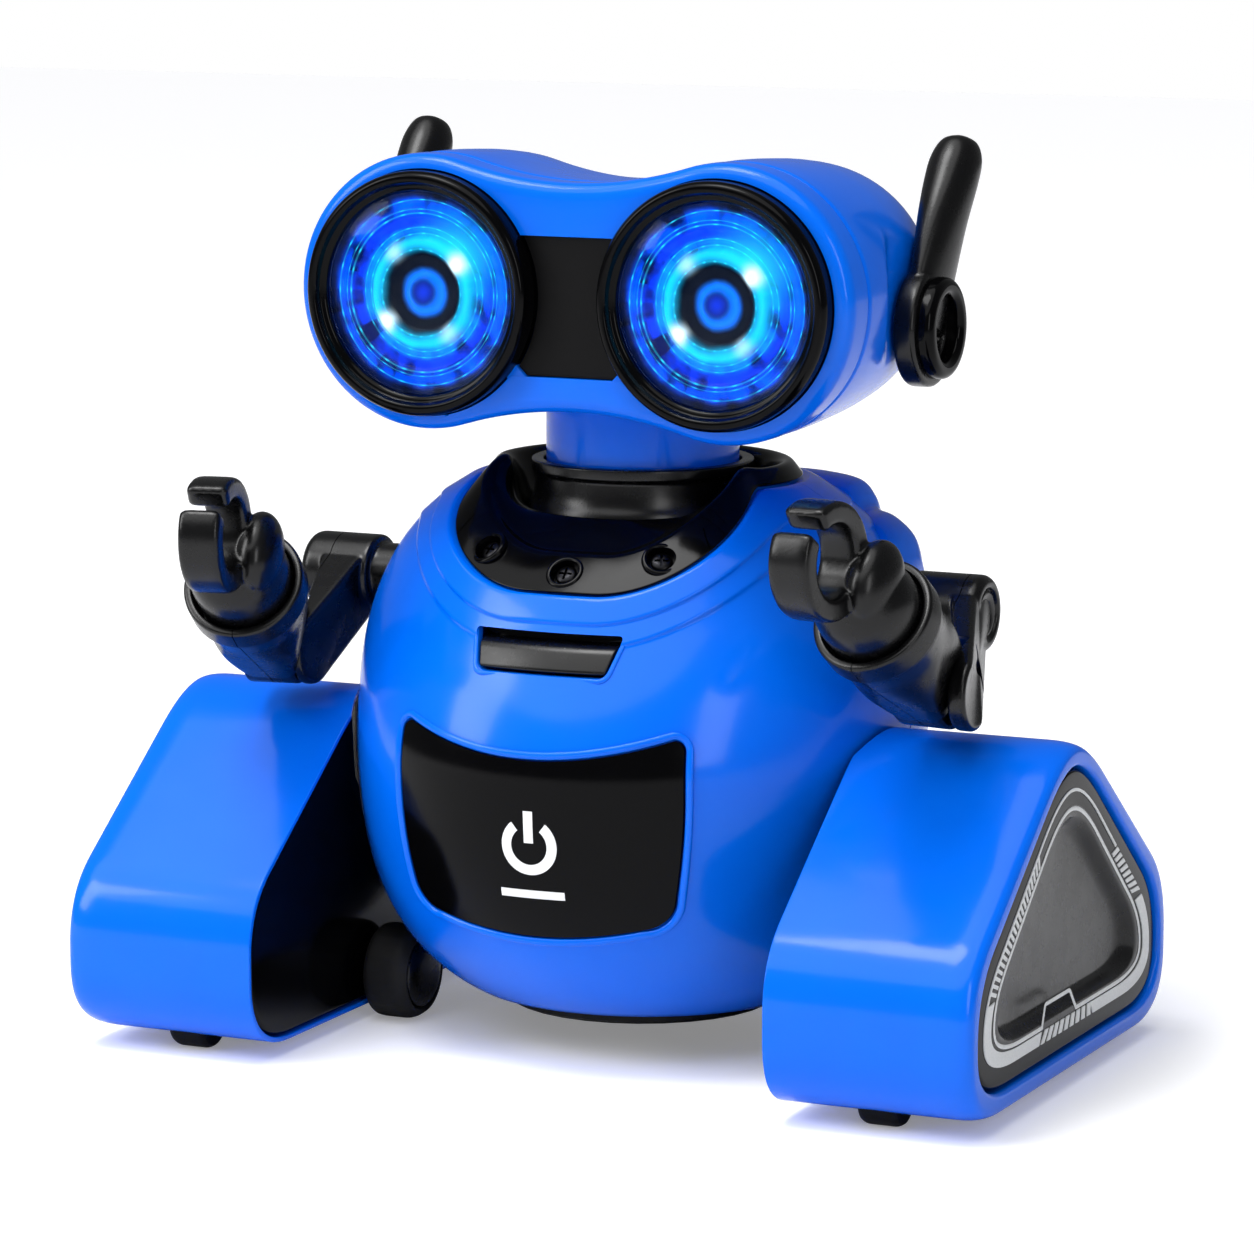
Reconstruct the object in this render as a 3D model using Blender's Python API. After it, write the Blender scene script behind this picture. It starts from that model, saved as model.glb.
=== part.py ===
"""Toy robot: an egg-shaped body between two wheeled side pods, with turning head, ears and jointed arms.

Run with: blender --background --python part.py
Lengths below are millimetres and become metres when a mesh is made. The robot faces -Y, +Z is up
and the ground is z = 0. Sizes are drawn from the neck's axis, and NECK_Y then moves the whole robot along Y.
"""

import bmesh
import bpy
import numpy as np

MM = 0.001
GAP = 0.3          # clearance between pieces that would touch
WALL = 2.0         # shell thickness

# Body: an egg whose chest leans back towards the neck
BELLY_Z = 70.0
BELLY_HALF_WIDTH = 57.0
BODY_RISE = 48.0
BODY_DROP = 66.0
BODY_FLOOR_Z = 10.0
BELLY_FRONT_RATIO = 0.96
CHEST_FRONT_RATIO = 0.745
BACK_RATIO = 0.93
NECKLINE_FRONT_Z = 93.0
NECKLINE_BACK_Z = 111.5
PANEL_HALF_WIDTH = 29.5
PANEL_BOTTOM_Z, PANEL_TOP_Z = 28.5, 63.5

# Neck and collar
NECK_RADIUS = 19.0
COLLAR_RADIUS = 21.2
COLLAR_TOP_Z = 115.0
COLLAR_FOOT_RADIUS = 22.6
COWL_MOUTH_Z = 106.0
COWL_SCREWS = {"left": np.radians(-23.5), "mid": 0.0, "right": np.radians(23.5)}

# Head: two round lobes joined by a narrower waist
EYE_X, EYE_Z = 30.8, 149.0
LOBE_X = 31.4
LOBE_RADIUS = 26.6
WAIST_HALF_HEIGHT = 21.9
FACE_Y = -34.0
SEAM_Y = -27.5
HEAD_BACK_Y = 34.0
BEZEL_RADIUS = 23.6
LENS_RADIUS = 18.4
EYE_FRONT_Y = -39.5
EAR_Y, EAR_Z = 4.6, 142.5
EAR_X = 55.0
EAR_LEAN = np.radians(22.5)
EAR_LENGTH = 35.5

# Arms
SHOULDER_Z = 88.4
SHOULDER_OUT_X = 73.0
BARREL_RADIUS = 7.6
ELBOW_RADIUS = 7.2
ELBOW_Y = -23.0
ELBOW_X = {"left": -63.5, "right": 75.6}
ELBOW_DROP = {"left": 12.4, "right": 11.2}
ELBOW_CHEEK = {"left": 3.0, "right": 4.3}
LINK_X = {"left": (-69.0, -58.6), "right": (66.0, 71.5)}
ARM_SEAM_X = {"left": -66.3, "right": 69.3}
FOREARM_PITCH = {"left": np.radians(37.0), "right": np.radians(38.0)}
FOREARM_TOE = {"left": np.radians(11.0), "right": np.radians(9.0)}
FOREARM_WIDTH = 11.0
FOREARM_LENGTH = {"left": 27.0, "right": 28.2}
CUP_RADIUS = 12.0
STEM_RADIUS = 9.8
CLAW_REACH = 19.6
CLAW_X = {"left": (-4.4, 3.8), "right": (-6.2, 2.4)}

# Side pods: a rounded triangle carried along X
POD_IN_X, POD_OUT_X = 53.7, 94.8
POD_MID_Y = -10.2
POD_HALF_LENGTH = 54.4
POD_APEX_Z = 66.8
POD_FLOOR_Z = 2.8
POD_SHOULDER_Z = 32.0
COVER_X = 59.0
STRUT_Z = 28.6
STRUT_RADIUS = 3.4

# Wheels
WHEEL_Y, WHEEL_RADIUS = -11.6, 9.5
ROLLER_Y = {"front": -51.0, "rear": 30.6}
ROLLER_RADIUS, ROLLER_X = 5.0, 73.0

# The drawing's y = 0 is the neck's axis. The finished robot is moved so that its origin is the middle of its base.
NECK_Y = 9.82

SIDES = {"left": -1.0, "right": 1.0}
BLUE, BLACK, DARK, CLEAR, LIT = (
    ((0.012, 0.19, 0.78), 0.18, 0.0),
    ((0.006, 0.006, 0.007), 0.28, 0.0),
    ((0.03, 0.03, 0.034), 0.5, 0.0),
    ((0.02, 0.25, 0.9), 0.06, 0.0),
    ((0.05, 0.45, 1.0), 0.25, 0.0),
)
RUBBER = ((0.01, 0.01, 0.011), 0.75, 0.0)
STEEL = ((0.55, 0.55, 0.56), 0.3, 1.0)
BOARD = ((0.01, 0.16, 0.06), 0.45, 0.0)


# ---------------------------------------------------------------- helpers
def clear_scene():
    for obj in list(bpy.data.objects):
        bpy.data.objects.remove(obj)


def paint(obj, finish):
    colour, roughness, metallic = finish
    material = bpy.data.materials.new(obj.name + "_plastic")
    material.use_nodes = True
    shader = material.node_tree.nodes["Principled BSDF"]
    shader.inputs["Base Color"].default_value = (*colour, 1.0)
    shader.inputs["Roughness"].default_value = roughness
    shader.inputs["Metallic"].default_value = metallic
    obj.data.materials.append(material)


def add_object(name, mesh_data, finish, origin=(0, 0, 0)):
    """An object from (points in mm, faces), with its origin at a point in mm."""
    points, faces = mesh_data
    mesh = bpy.data.meshes.new(name)
    mesh.from_pydata(((np.asarray(points) - origin) * MM).tolist(), [], faces)
    shape = bmesh.new()
    shape.from_mesh(mesh)
    bmesh.ops.recalc_face_normals(shape, faces=shape.faces)
    shape.to_mesh(mesh)
    shape.free()
    mesh.shade_smooth()
    mesh.set_sharp_from_angle(angle=np.radians(35))
    obj = bpy.data.objects.new(name, mesh)
    obj.location = (np.asarray(origin, float) + (0, NECK_Y, 0)) * MM
    bpy.context.collection.objects.link(obj)
    paint(obj, finish)
    return obj


def combine(obj, operation, *tools):
    """Leaves one exact Boolean modifier per tool on the object."""
    for number, mesh_data in enumerate(tools):
        tool = add_object(f"{obj.name}_{operation.lower()}_{number}_{len(obj.modifiers)}", mesh_data, DARK)
        tool.hide_render = True
        tool.display_type = "WIRE"
        modifier = obj.modifiers.new(tool.name, "BOOLEAN")
        modifier.operation = operation
        modifier.solver = "EXACT"
        modifier.object = tool
    return obj


def stack(rings, loop=False):
    """Joins rings of equal point count with quads. The ends are capped, or joined when loop is set."""
    count = len(rings[0])
    faces = []
    for a in range(len(rings) if loop else len(rings) - 1):
        b = (a + 1) % len(rings)
        for i in range(count):
            j = (i + 1) % count
            faces.append((a * count + i, a * count + j, b * count + j, b * count + i))
    if not loop:
        faces.append(tuple(range(count))[::-1])
        faces.append(tuple((len(rings) - 1) * count + i for i in range(count)))
    return np.concatenate(rings), faces


def sheet_solid(outer, inner):
    """A closed plate between two grids of the same shape, (rows, columns, 3)."""
    rows, columns, _ = outer.shape
    size = rows * columns
    index = np.arange(size).reshape(rows, columns)
    faces = []
    for i in range(rows - 1):
        for j in range(columns - 1):
            quad = (index[i, j], index[i, j + 1], index[i + 1, j + 1], index[i + 1, j])
            faces.append(quad)
            faces.append(tuple(size + k for k in quad[::-1]))
    rim = [*index[0, :], *index[1:, -1], *index[-1, -2::-1], *index[-2:0:-1, 0]]
    for a, b in zip(rim, rim[1:] + rim[:1]):
        faces.append((a, size + a, size + b, b))
    faces = [tuple(int(k) for k in face) for face in faces]
    return np.concatenate([outer.reshape(-1, 3), inner.reshape(-1, 3)]), faces


def frame_along(axis, up=(0, 0, 1)):
    """Two unit vectors square to the axis, and the axis itself, as rows."""
    axis = np.asarray(axis, float) / np.linalg.norm(axis)
    side = np.cross(up, axis)
    side = side / np.linalg.norm(side)
    return np.stack([side, np.cross(axis, side), axis])


X_FRAME = frame_along((1, 0, 0))
Y_FRAME = frame_along((0, 1, 0))
Z_FRAME = np.eye(3)


def circle(radius, height, sides):
    angle = np.arange(sides) * 2 * np.pi / sides
    return np.stack([radius * np.cos(angle), radius * np.sin(angle), np.full(sides, height)], 1)


def turned(profile, sides, frame=Z_FRAME, centre=(0, 0, 0), loop=False):
    """A turned piece: (radius, height) pairs carried round the frame's axis."""
    rings = [circle(radius, height, sides) @ frame + centre for radius, height in profile]
    return stack(rings, loop)


def rod(start, end, radius, sides=16):
    start, end = np.asarray(start, float), np.asarray(end, float)
    axis = end - start
    up = (0, 0, 1) if abs(axis[2]) < 0.9 * np.linalg.norm(axis) else (0, 1, 0)
    return turned([(radius, 0), (radius, np.linalg.norm(axis))], sides, frame_along(axis, up), start)


def box(low, high):
    (x0, y0, z0), (x1, y1, z1) = low, high
    lower = np.array([(x0, y0, z0), (x1, y0, z0), (x1, y1, z0), (x0, y1, z0)], float)
    return stack([lower, lower + (0, 0, z1 - z0)])


def hull(points):
    """The convex solid round a cloud of points."""
    shape = bmesh.new()
    for point in points:
        shape.verts.new(point)
    bmesh.ops.convex_hull(shape, input=shape.verts)
    inside = [vertex for vertex in shape.verts if not vertex.link_faces]
    bmesh.ops.delete(shape, geom=inside, context="VERTS")
    shape.verts.index_update()
    faces = [tuple(vertex.index for vertex in face.verts) for face in shape.faces]
    points = np.array([vertex.co[:] for vertex in shape.verts])
    shape.free()
    return points, faces


def smooth(value, low, high):
    t = np.clip((np.asarray(value, float) - low) / (high - low), 0, 1)
    return t * t * (3 - 2 * t)


# ---------------------------------------------------------------- body surface
def body_half_width(z):
    """Half the egg's width at a height: superellipse quarters above and below the belly."""
    z = np.asarray(z, float)
    rise = np.clip((z - BELLY_Z) / BODY_RISE, 0, 1)
    drop = np.clip((BELLY_Z - z) / BODY_DROP, 0, 1)
    above = (1 - rise**2.4) ** (1 / 2.2)
    below = (1 - drop**3.2) ** (1 / 2.6)
    return BELLY_HALF_WIDTH * np.where(z >= BELLY_Z, above, below)


def body_depth_ratio(z, front):
    lean = smooth(z, 58, 98)
    ahead = BELLY_FRONT_RATIO + (CHEST_FRONT_RATIO - BELLY_FRONT_RATIO) * lean
    return np.where(front, ahead, BACK_RATIO)


def body_point(angle, z, out=0.0):
    """A point of the egg. The angle is measured from the front, towards +X."""
    width = body_half_width(z) + out
    depth = body_half_width(z) * body_depth_ratio(z, np.cos(angle) > 0) + out
    return np.stack([width * np.sin(angle), -depth * np.cos(angle), z + 0 * angle], -1)


def body_front(x, z, out=0.0):
    """The point of the egg's front at x and z, moved out along Y."""
    width, depth = body_half_width(z), body_half_width(z) * body_depth_ratio(z, True)
    return np.stack([x, -depth * np.sqrt(1 - (x / width) ** 2) - out, z], -1)


def neckline_z(angle):
    """Height of the egg's upper rim: low over the chest, and soon high round the sides and the back."""
    off_front = np.abs(np.arctan2(np.sin(angle), np.cos(angle)))
    return NECKLINE_FRONT_Z + (NECKLINE_BACK_Z - NECKLINE_FRONT_Z) * smooth(off_front, 0.14, 1.19)


def body_half_shell(start, end, columns=15):
    """One half of the egg's wall, with two raised steps under the neckline."""
    angle = np.linspace(start, end, columns)[None, :]
    top = neckline_z(angle)
    steps = np.array([(0.0, 1.0), (4.6, 1.0), (5.1, 0.5), (9.0, 0.5), (9.5, 0.0)])
    near = [(top - drop, out) for drop, out in steps]
    low = top - 9.5
    share = np.linspace(0, 1, 7)[1:]
    far = [(low + (BODY_FLOOR_Z - low) * s ** 0.92, 0.0) for s in share]
    rows = near + far
    outer = np.concatenate([body_point(angle, z, out) for z, out in rows])
    inner = np.concatenate([body_point(angle, z, out - WALL) for z, out in rows])
    return sheet_solid(outer, inner)


def panel_grid(margin, out, columns=9, rows=5):
    """The chest panel's outline, drawn on the egg: its top and bottom edges sag, its sides bow."""
    u = np.linspace(-1, 1, columns)[None, :]
    v = np.linspace(0, 1, rows)[:, None]
    half = PANEL_HALF_WIDTH + margin - 3.2 * (1 - v) ** 2 + 0.8 * np.sin(np.pi * v)
    corner = 1 - 0.10 * (np.abs(2 * v - 1) ** 6)
    x = half * u * corner
    low = PANEL_BOTTOM_Z - margin + 2.5 * u**2
    high = PANEL_TOP_Z + margin + 4.5 * u**2
    z = low + (high - low) * v
    return body_front(x, z + 0 * x, out)


def body_shells():
    seam = np.radians(0.35)
    half_turn = np.pi / 2
    front = add_object("front_body_shell", body_half_shell(seam - half_turn, half_turn - seam), BLUE)
    rear = add_object("rear_body_shell", body_half_shell(half_turn + seam, 3 * half_turn - seam), BLUE)
    shoulder_hole = rod((-70, 0, SHOULDER_Z), (70, 0, SHOULDER_Z), 6.0 + GAP, 20)
    strut_hole = rod((-70, 0, STRUT_Z), (70, 0, STRUT_Z), STRUT_RADIUS + GAP, 16)
    panel_pocket = sheet_solid(panel_grid(GAP, 3.0), panel_grid(GAP, -1.2))
    vent_hole = vent_block(-30, -60, GAP)
    combine(front, "DIFFERENCE", shoulder_hole, strut_hole, panel_pocket, vent_hole)
    switch_hole = box((-5, 40, 39.5), (5, 60, 44.5))
    combine(rear, "UNION", *[shoulder_lobe(sign) for sign in SIDES.values()])
    combine(rear, "DIFFERENCE", shoulder_hole, strut_hole, switch_hole, neck_room())


def neck_room():
    """The space above the neckline, which the shoulder blocks leave free."""
    angle = np.linspace(0, 2 * np.pi, 36, endpoint=False)
    low = body_point(angle, neckline_z(angle) + 0.15, 0.7)
    return stack([low, low * (1, 1, 0) + (0, 0, 130)])


def shoulder_lobe(sign):
    """A rounded shoulder block that stands proud of the rear shell."""
    rings = []
    for x, y, top, half in ((17, 32, 109.6, 8), (33.5, 27, 109.2, 9), (37.5, 25, 106.0, 8.5), (39, 22, 103.6, 8.5),
                            (46.5, 17, 102.6, 9), (50.5, 15, 96.5, 8)):
        angle = np.linspace(0, 2 * np.pi, 12, endpoint=False)
        bulge = np.sign(np.sin(angle)) * np.abs(np.sin(angle)) ** 0.6
        middle, reach = (84 + top) / 2, (top - 84) / 2
        rings.append(np.stack([np.full(12, sign * x), y + half * np.cos(angle), middle + reach * bulge], 1))
    return stack(rings)


def vent_block(y_in, y_out, margin):
    """The chest slot's outline, wider at the top, carried along Y."""
    top, bottom, half_top, half_bottom = 86.2 + margin, 79.0 - margin, 15.3 + margin, 13.0 + margin
    outline = [(-half_top, top), (half_top, top), (half_bottom, bottom), (-half_bottom, bottom)]
    return stack([np.array([(x, y, z) for x, z in outline], float) for y in (y_in, y_out)])


def chest():
    panel = sheet_solid(panel_grid(-GAP, -0.15), panel_grid(-GAP, -0.9))
    add_object("chest_panel", panel, BLACK)
    add_object("chest_vent", vent_block(-33, -42.0, -GAP), BLACK)


def cowl_edge(angle):
    return body_point(angle, neckline_z(angle) + 2 * GAP, 0.2)


def cowl_ledge(angle):
    """The ridge of the cowl: above and inside its outer edge."""
    edge = cowl_edge(angle)
    rise = 1.8 + 2.6 * (1 + np.cos(angle))
    return np.stack([edge[..., 0] * 0.82, edge[..., 1] * 0.82, edge[..., 2] + rise], -1)


def shoulder_cowl():
    """The black cowl between the egg and the collar, with three screws in round wells."""
    angle = np.linspace(0, 2 * np.pi, 40, endpoint=False)
    inward = np.stack([-np.sin(angle), np.cos(angle), 0 * angle], 1)
    inner_radius = COLLAR_FOOT_RADIUS + GAP
    mouth = np.stack([inner_radius * np.sin(angle), -inner_radius * np.cos(angle), 0 * angle + COWL_MOUTH_Z], 1)
    edge, ledge = cowl_edge(angle), cowl_ledge(angle)
    top = [edge, ledge, ledge + inward * 1.2, mouth - inward * 1.0, mouth]
    under = [mouth - (0, 0, 2.0), ledge * (0.94, 0.94, 1) - (0, 0, 2.6), edge + inward * 3.4 + (0, 0, 0.1)]
    cowl = add_object("shoulder_cowl", stack(top + under, loop=True), BLACK)
    for name, turn in COWL_SCREWS.items():
        low, high = cowl_edge(np.array(turn)), cowl_ledge(np.array(turn))
        outward = np.cross((np.cos(turn), np.sin(turn), 0), high - low)
        frame, middle = frame_along(outward), (low + high) / 2
        combine(cowl, "DIFFERENCE", turned([(2.9, -1.5), (2.9, 3)], 16, frame, middle))
        head = turned([(2.2, -1.2), (2.2, -0.7), (1.6, -0.4)], 12, frame, middle)
        add_object(f"cowl_screw_{name}", head, STEEL)


def neck_collar():
    foot = COLLAR_FOOT_RADIUS
    profile = [(NECK_RADIUS + 0.5, 98), (foot, 98), (foot, 106.5), (COLLAR_RADIUS, 111.8),
               (COLLAR_RADIUS + 0.5, 113.4), (COLLAR_RADIUS + 0.3, COLLAR_TOP_Z), (NECK_RADIUS + 0.5, COLLAR_TOP_Z)]
    add_object("neck_collar", turned(profile, 28, loop=True), BLACK)


# ---------------------------------------------------------------- body insides
def chassis():
    base = turned([(26.5, 7.0), (28.0, 7.8), (28.0, BODY_FLOOR_Z - GAP)], 32)
    obj = add_object("chassis", base, DARK)
    cross_tube = rod((-72, 0, STRUT_Z), (72, 0, STRUT_Z), STRUT_RADIUS, 14)
    posts = [box((x - 2.5, -3, 8.5), (x + 2.5, 3, STRUT_Z)) for x in (-23, 23)]
    deck = box((-28, -9, STRUT_Z - 1.5), (28, 9, STRUT_Z + 1.5))
    combine(obj, "UNION", cross_tube, *posts, deck)
    combine(obj, "DIFFERENCE", box((-17, -12, 5), (17, 12, 11)))
    add_object("battery_door", box((-16.7, -11.7, 7.3), (16.7, 11.7, 9.2)), DARK)
    add_object("battery_pack", box((-17, -12, 10.0), (17, 12, 24.6)), LIT)
    add_object("main_board", box((-26, 14, 32), (26, 15.6, 68)), BOARD)
    add_object("neck_motor", box((-12, -10, 72), (12, 14, 97)), DARK)
    speaker = turned([(14, 0), (14, 2), (8, 7), (8, 10)], 20, Y_FRAME, (0, -38, 55))
    add_object("speaker", speaker, DARK)
    add_object("power_switch", switch_slider(), BLACK)


def switch_slider():
    y_out = float(body_point(np.array(np.pi), 42.0)[1])
    return box((-2.0, y_out - 1.2, 39.9), (2.0, y_out + 1.4, 44.1))


# ---------------------------------------------------------------- head
def peanut(inset, y, arc=17):
    """The head's outline in the XZ plane: lobe arcs joined by hollow waist arcs, both moved in by inset."""
    rise = (LOBE_X**2 + WAIST_HALF_HEIGHT**2 - LOBE_RADIUS**2) / (2 * (LOBE_RADIUS - WAIST_HALF_HEIGHT))
    centre_z = WAIST_HALF_HEIGHT + rise
    tangent = np.arctan2(centre_z, LOBE_X)
    lobe, waist = LOBE_RADIUS - inset, rise + inset
    # The lobe arc runs from the lower tangent point round the outside to the upper one.
    outer = np.pi - tangent
    lobe_turn = np.linspace(-outer, outer, arc)
    right = np.stack([LOBE_X + lobe * np.cos(lobe_turn), lobe * np.sin(lobe_turn)], 1)
    half = np.pi / 2 - tangent
    dip = np.linspace(-half, half, 5)[1:-1]
    top = np.stack([-waist * np.sin(dip), centre_z - waist * np.cos(dip)], 1)
    ring = np.concatenate([right, top, -right, -top])
    return np.stack([ring[:, 0], np.full(len(ring), y), EYE_Z + ring[:, 1]], 1)


def face():
    outer = [(2.0, FACE_Y), (1.0, FACE_Y + 0.4), (0.3, FACE_Y + 1.3), (0, FACE_Y + 2.8), (0, SEAM_Y - GAP)]
    obj = add_object("face_frame", stack([peanut(inset, y) for inset, y in outer]), BLUE)
    hollow = stack([peanut(WALL, FACE_Y + 2.4), peanut(WALL, SEAM_Y + 5)])
    eye_holes = [rod((s * EYE_X, FACE_Y - 5, EYE_Z), (s * EYE_X, SEAM_Y, EYE_Z), BEZEL_RADIUS + GAP, 32)
                 for s in SIDES.values()]
    combine(obj, "DIFFERENCE", hollow, *eye_holes, bridge_block(FACE_Y - 3, FACE_Y + 8, GAP, BEZEL_RADIUS - 2))
    add_object("face_bridge", bridge_block(FACE_Y + 0.8, FACE_Y + 2.3, 0, BEZEL_RADIUS + 2 * GAP), BLACK)


def bridge_block(y_front, y_back, margin, radius):
    """The plate between the eyes: its sides are hollow arcs round each eye's centre."""
    low, high = 134.0 - margin, 160.6 + margin
    z = np.linspace(low, high, 9)
    x = EYE_X - np.sqrt(radius**2 - (z - EYE_Z) ** 2)
    outline = [*zip(x, z), *zip(-x[::-1], z[::-1])]
    return stack([np.array([(a, y, b) for a, b in outline]) for y in (y_front, y_back)])


def flattened(ring, half_width):
    """Pulls a head outline's sides in to a flat, so that an ear can sit against them."""
    ring = ring.copy()
    ring[:, 0] = np.clip(ring[:, 0], -half_width, half_width)
    return ring


def head_rear_shell():
    rows = [(0.2, SEAM_Y), (0.2, -18), (0.6, -9), (1.4, 2), (3.0, 13), (6.2, 22), (11.0, 29), (18.0, HEAD_BACK_Y)]
    outer = stack([flattened(peanut(inset, y), EAR_X - 0.8 if y > -12 else 60) for inset, y in rows])
    inner_rows = [(2.4, SEAM_Y - 3), (2.4, -18), (2.8, -9), (3.6, 2), (5.2, 12), (8.4, 20.5), (16.0, 30)]
    inner = stack([flattened(peanut(inset, y), EAR_X - 3 if y > -12 else 57) for inset, y in inner_rows])
    obj = add_object("head_rear_shell", outer, BLUE)
    neck_hole = rod((0, 0, 110), (0, 0, 135), NECK_RADIUS + GAP, 28)
    ear_hole = rod((-70, EAR_Y, EAR_Z), (70, EAR_Y, EAR_Z), 3.0 + GAP, 16)
    combine(obj, "DIFFERENCE", inner, neck_hole, ear_hole)


def neck_tube():
    profile = [(16.5, 99.5), (NECK_RADIUS, 99.5), (NECK_RADIUS, 131), (16.5, 131)]
    add_object("neck_tube", turned(profile, 28, loop=True), BLUE)


def eye(side, sign):
    centre = (sign * EYE_X, 0, EYE_Z)
    r = BEZEL_RADIUS
    bezel = [(LENS_RADIUS, -35.5), (LENS_RADIUS, -38.2), (LENS_RADIUS + 1.4, EYE_FRONT_Y), (r - 2.2, EYE_FRONT_Y),
             (r - 0.6, EYE_FRONT_Y + 0.9), (r, EYE_FRONT_Y + 2.4), (r, -28), (LENS_RADIUS + 1.2, -28),
             (LENS_RADIUS + 1.2, -35.5)]
    add_object(f"eye_bezel_{side}", turned(bezel, 24, Y_FRAME, centre, loop=True), BLACK)
    dome = [(LENS_RADIUS - GAP, -35.9), (LENS_RADIUS - GAP, -37.6), (15.5, -38.5), (10.5, -39.6), (5.0, -40.2),
            (0.4, -40.3)]
    lens = stack([circle(radius, y, 20) @ Y_FRAME + centre for radius, y in dome])
    obj = add_object(f"eye_lens_{side}", lens, CLEAR)
    hollow = [(16.4, -34.0), (16.4, -36.2), (10.5, -38.1), (5.0, -38.8), (0.4, -38.9)]
    combine(obj, "DIFFERENCE", stack([circle(radius, y, 16) @ Y_FRAME + centre for radius, y in hollow]))
    dish = [(19.2, -31.5), (19.2, -35.1), (17.5, -35.1), (14.5, -33.2), (7.5, -33.0), (6.5, -34.6), (2.6, -34.6),
            (2.6, -31.5)]
    add_object(f"eye_reflector_{side}", turned(dish, 16, Y_FRAME, centre, loop=True), LIT)
    add_object(f"eye_board_{side}", turned([(18.6, -31.2), (18.6, -29.6)], 18, Y_FRAME, centre), BOARD)


def ear(side, sign):
    """The ear hub, its leaning blade and its inner axle, made round the ear's own axis."""
    pivot = np.array([0, EAR_Y, EAR_Z])
    inner, outer = sign * EAR_X, sign * (EAR_X + 4.6)
    hub = rod(pivot + (inner, 0, 0), pivot + (outer, 0, 0), 11.4, 20)
    lean = np.array([0, np.sin(EAR_LEAN), np.cos(EAR_LEAN)])
    across = np.array([0, np.cos(EAR_LEAN), -np.sin(EAR_LEAN)])
    rings = []
    for share, half_width, half_thick, bow in ((0.0, 8.4, 2.3, 0), (0.3, 7.6, 2.6, -0.6), (0.6, 6.2, 2.9, -0.8),
                                               (0.82, 5.2, 3.0, 0.2), (0.94, 4.6, 2.8, 0.9), (1.02, 3.2, 2.0, 1.2),
                                               (1.05, 1.2, 0.9, 1.3)):
        turn = np.linspace(0, 2 * np.pi, 10, endpoint=False)
        middle = pivot + lean * EAR_LENGTH * share + across * bow + (sign * (EAR_X + 2.3), 0, 0)
        ring = middle + np.outer(half_thick * np.cos(turn), (sign, 0, 0))
        rings.append(ring + np.outer(half_width * np.sin(turn), across))
    obj = add_object(f"antenna_{side}", hub, BLACK, origin=pivot + (sign * EAR_X, 0, 0))
    axle = rod(pivot + (sign * (EAR_X - 6), 0, 0), pivot + (sign * (EAR_X + 1), 0, 0), 3.0, 14)
    flange = rod(pivot + (sign * (EAR_X - 7), 0, 0), pivot + (sign * (EAR_X - 5), 0, 0), 4.6, 14)
    combine(obj, "UNION", stack(rings), axle, flange)
    start = pivot + (sign * (EAR_X + 4.6 + GAP), 0, 0)
    cap = [(6.4, 0), (9.8, 0), (9.8, 1.8), (8.8, 2.8), (7.3, 2.8), (6.4, 2.0)]
    frame = frame_along((sign, 0, 0))
    add_object(f"antenna_cap_{side}", turned(cap, 20, frame, start, loop=True), BLACK)


# ---------------------------------------------------------------- arms
def arm_axes(side):
    """Unit vectors of a forearm: elbow axis (towards +X), along (to the hand) and rise."""
    toe = -SIDES[side] * FOREARM_TOE[side]
    pitch = FOREARM_PITCH[side]
    ahead = np.array([np.sin(toe), -np.cos(toe), 0])
    up = np.array([0, 0, 1.0])
    along = ahead * np.cos(pitch) + up * np.sin(pitch)
    rise = up * np.cos(pitch) - ahead * np.sin(pitch)
    return np.cross(rise, along), along, rise


def elbow_centre(side):
    return np.array([ELBOW_X[side], ELBOW_Y, SHOULDER_Z - ELBOW_DROP[side]])


def barrel_points(centre, axis, start, end, radius, sides=16):
    frame = frame_along(axis)
    return np.concatenate([circle(radius, start, sides), circle(radius, end, sides)]) @ frame + centre


def upper_arm(side, sign):
    """Shoulder barrel, link and elbow cheek, parted into an outer and an inner moulding."""
    shoulder = np.array([0, 0, SHOULDER_Z])
    axis, _, _ = arm_axes(side)
    elbow = elbow_centre(side)
    link = hull(np.concatenate([
        barrel_points(shoulder, (1, 0, 0), *LINK_X[side], 6.6),
        barrel_points(elbow, axis, GAP, ELBOW_CHEEK[side], ELBOW_RADIUS),
    ]))
    barrel_profile = [(BARREL_RADIUS, 57.8), (BARREL_RADIUS, SHOULDER_OUT_X - 1.4), (6.4, SHOULDER_OUT_X)]
    barrel = turned(barrel_profile, 20, frame_along((sign, 0, 0)), shoulder)
    stub = rod((sign * 47.0, 0, SHOULDER_Z), (sign * 60, 0, SHOULDER_Z), 6.0, 20)
    socket = rod(elbow - axis * 1, elbow + axis * 2.6, 3.0 + GAP, 14)
    room = rod(elbow - axis * 20, elbow + axis * GAP / 2, ELBOW_RADIUS + 3.5, 20)
    bore = rod((sign * (SHOULDER_OUT_X - 3.2), 0, SHOULDER_Z), (sign * 80, 0, SHOULDER_Z), 5.0, 18)
    seam = ARM_SEAM_X[side]
    for half, keep in (("outer", sign), ("inner", -sign)):
        obj = add_object(f"upper_arm_{half}_{side}", link, BLACK, origin=shoulder + (sign * 60, 0, 0))
        low, high = (seam - 60, seam + GAP / 2) if keep > 0 else (seam - GAP / 2, seam + 60)
        combine(obj, "UNION", barrel, stub)
        combine(obj, "DIFFERENCE", socket, room, bore, box((low, -60, 40), (high, 40, 130)))
    cap_start = shoulder + (sign * (SHOULDER_OUT_X - 2.9), 0, 0)
    cap = [(2.4, 0), (4.7, 0), (4.7, 2.7), (4.0, 3.1), (2.4, 3.1)]
    add_object(f"shoulder_cap_{side}", turned(cap, 16, frame_along((sign, 0, 0)), cap_start, loop=True), BLACK)


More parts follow.
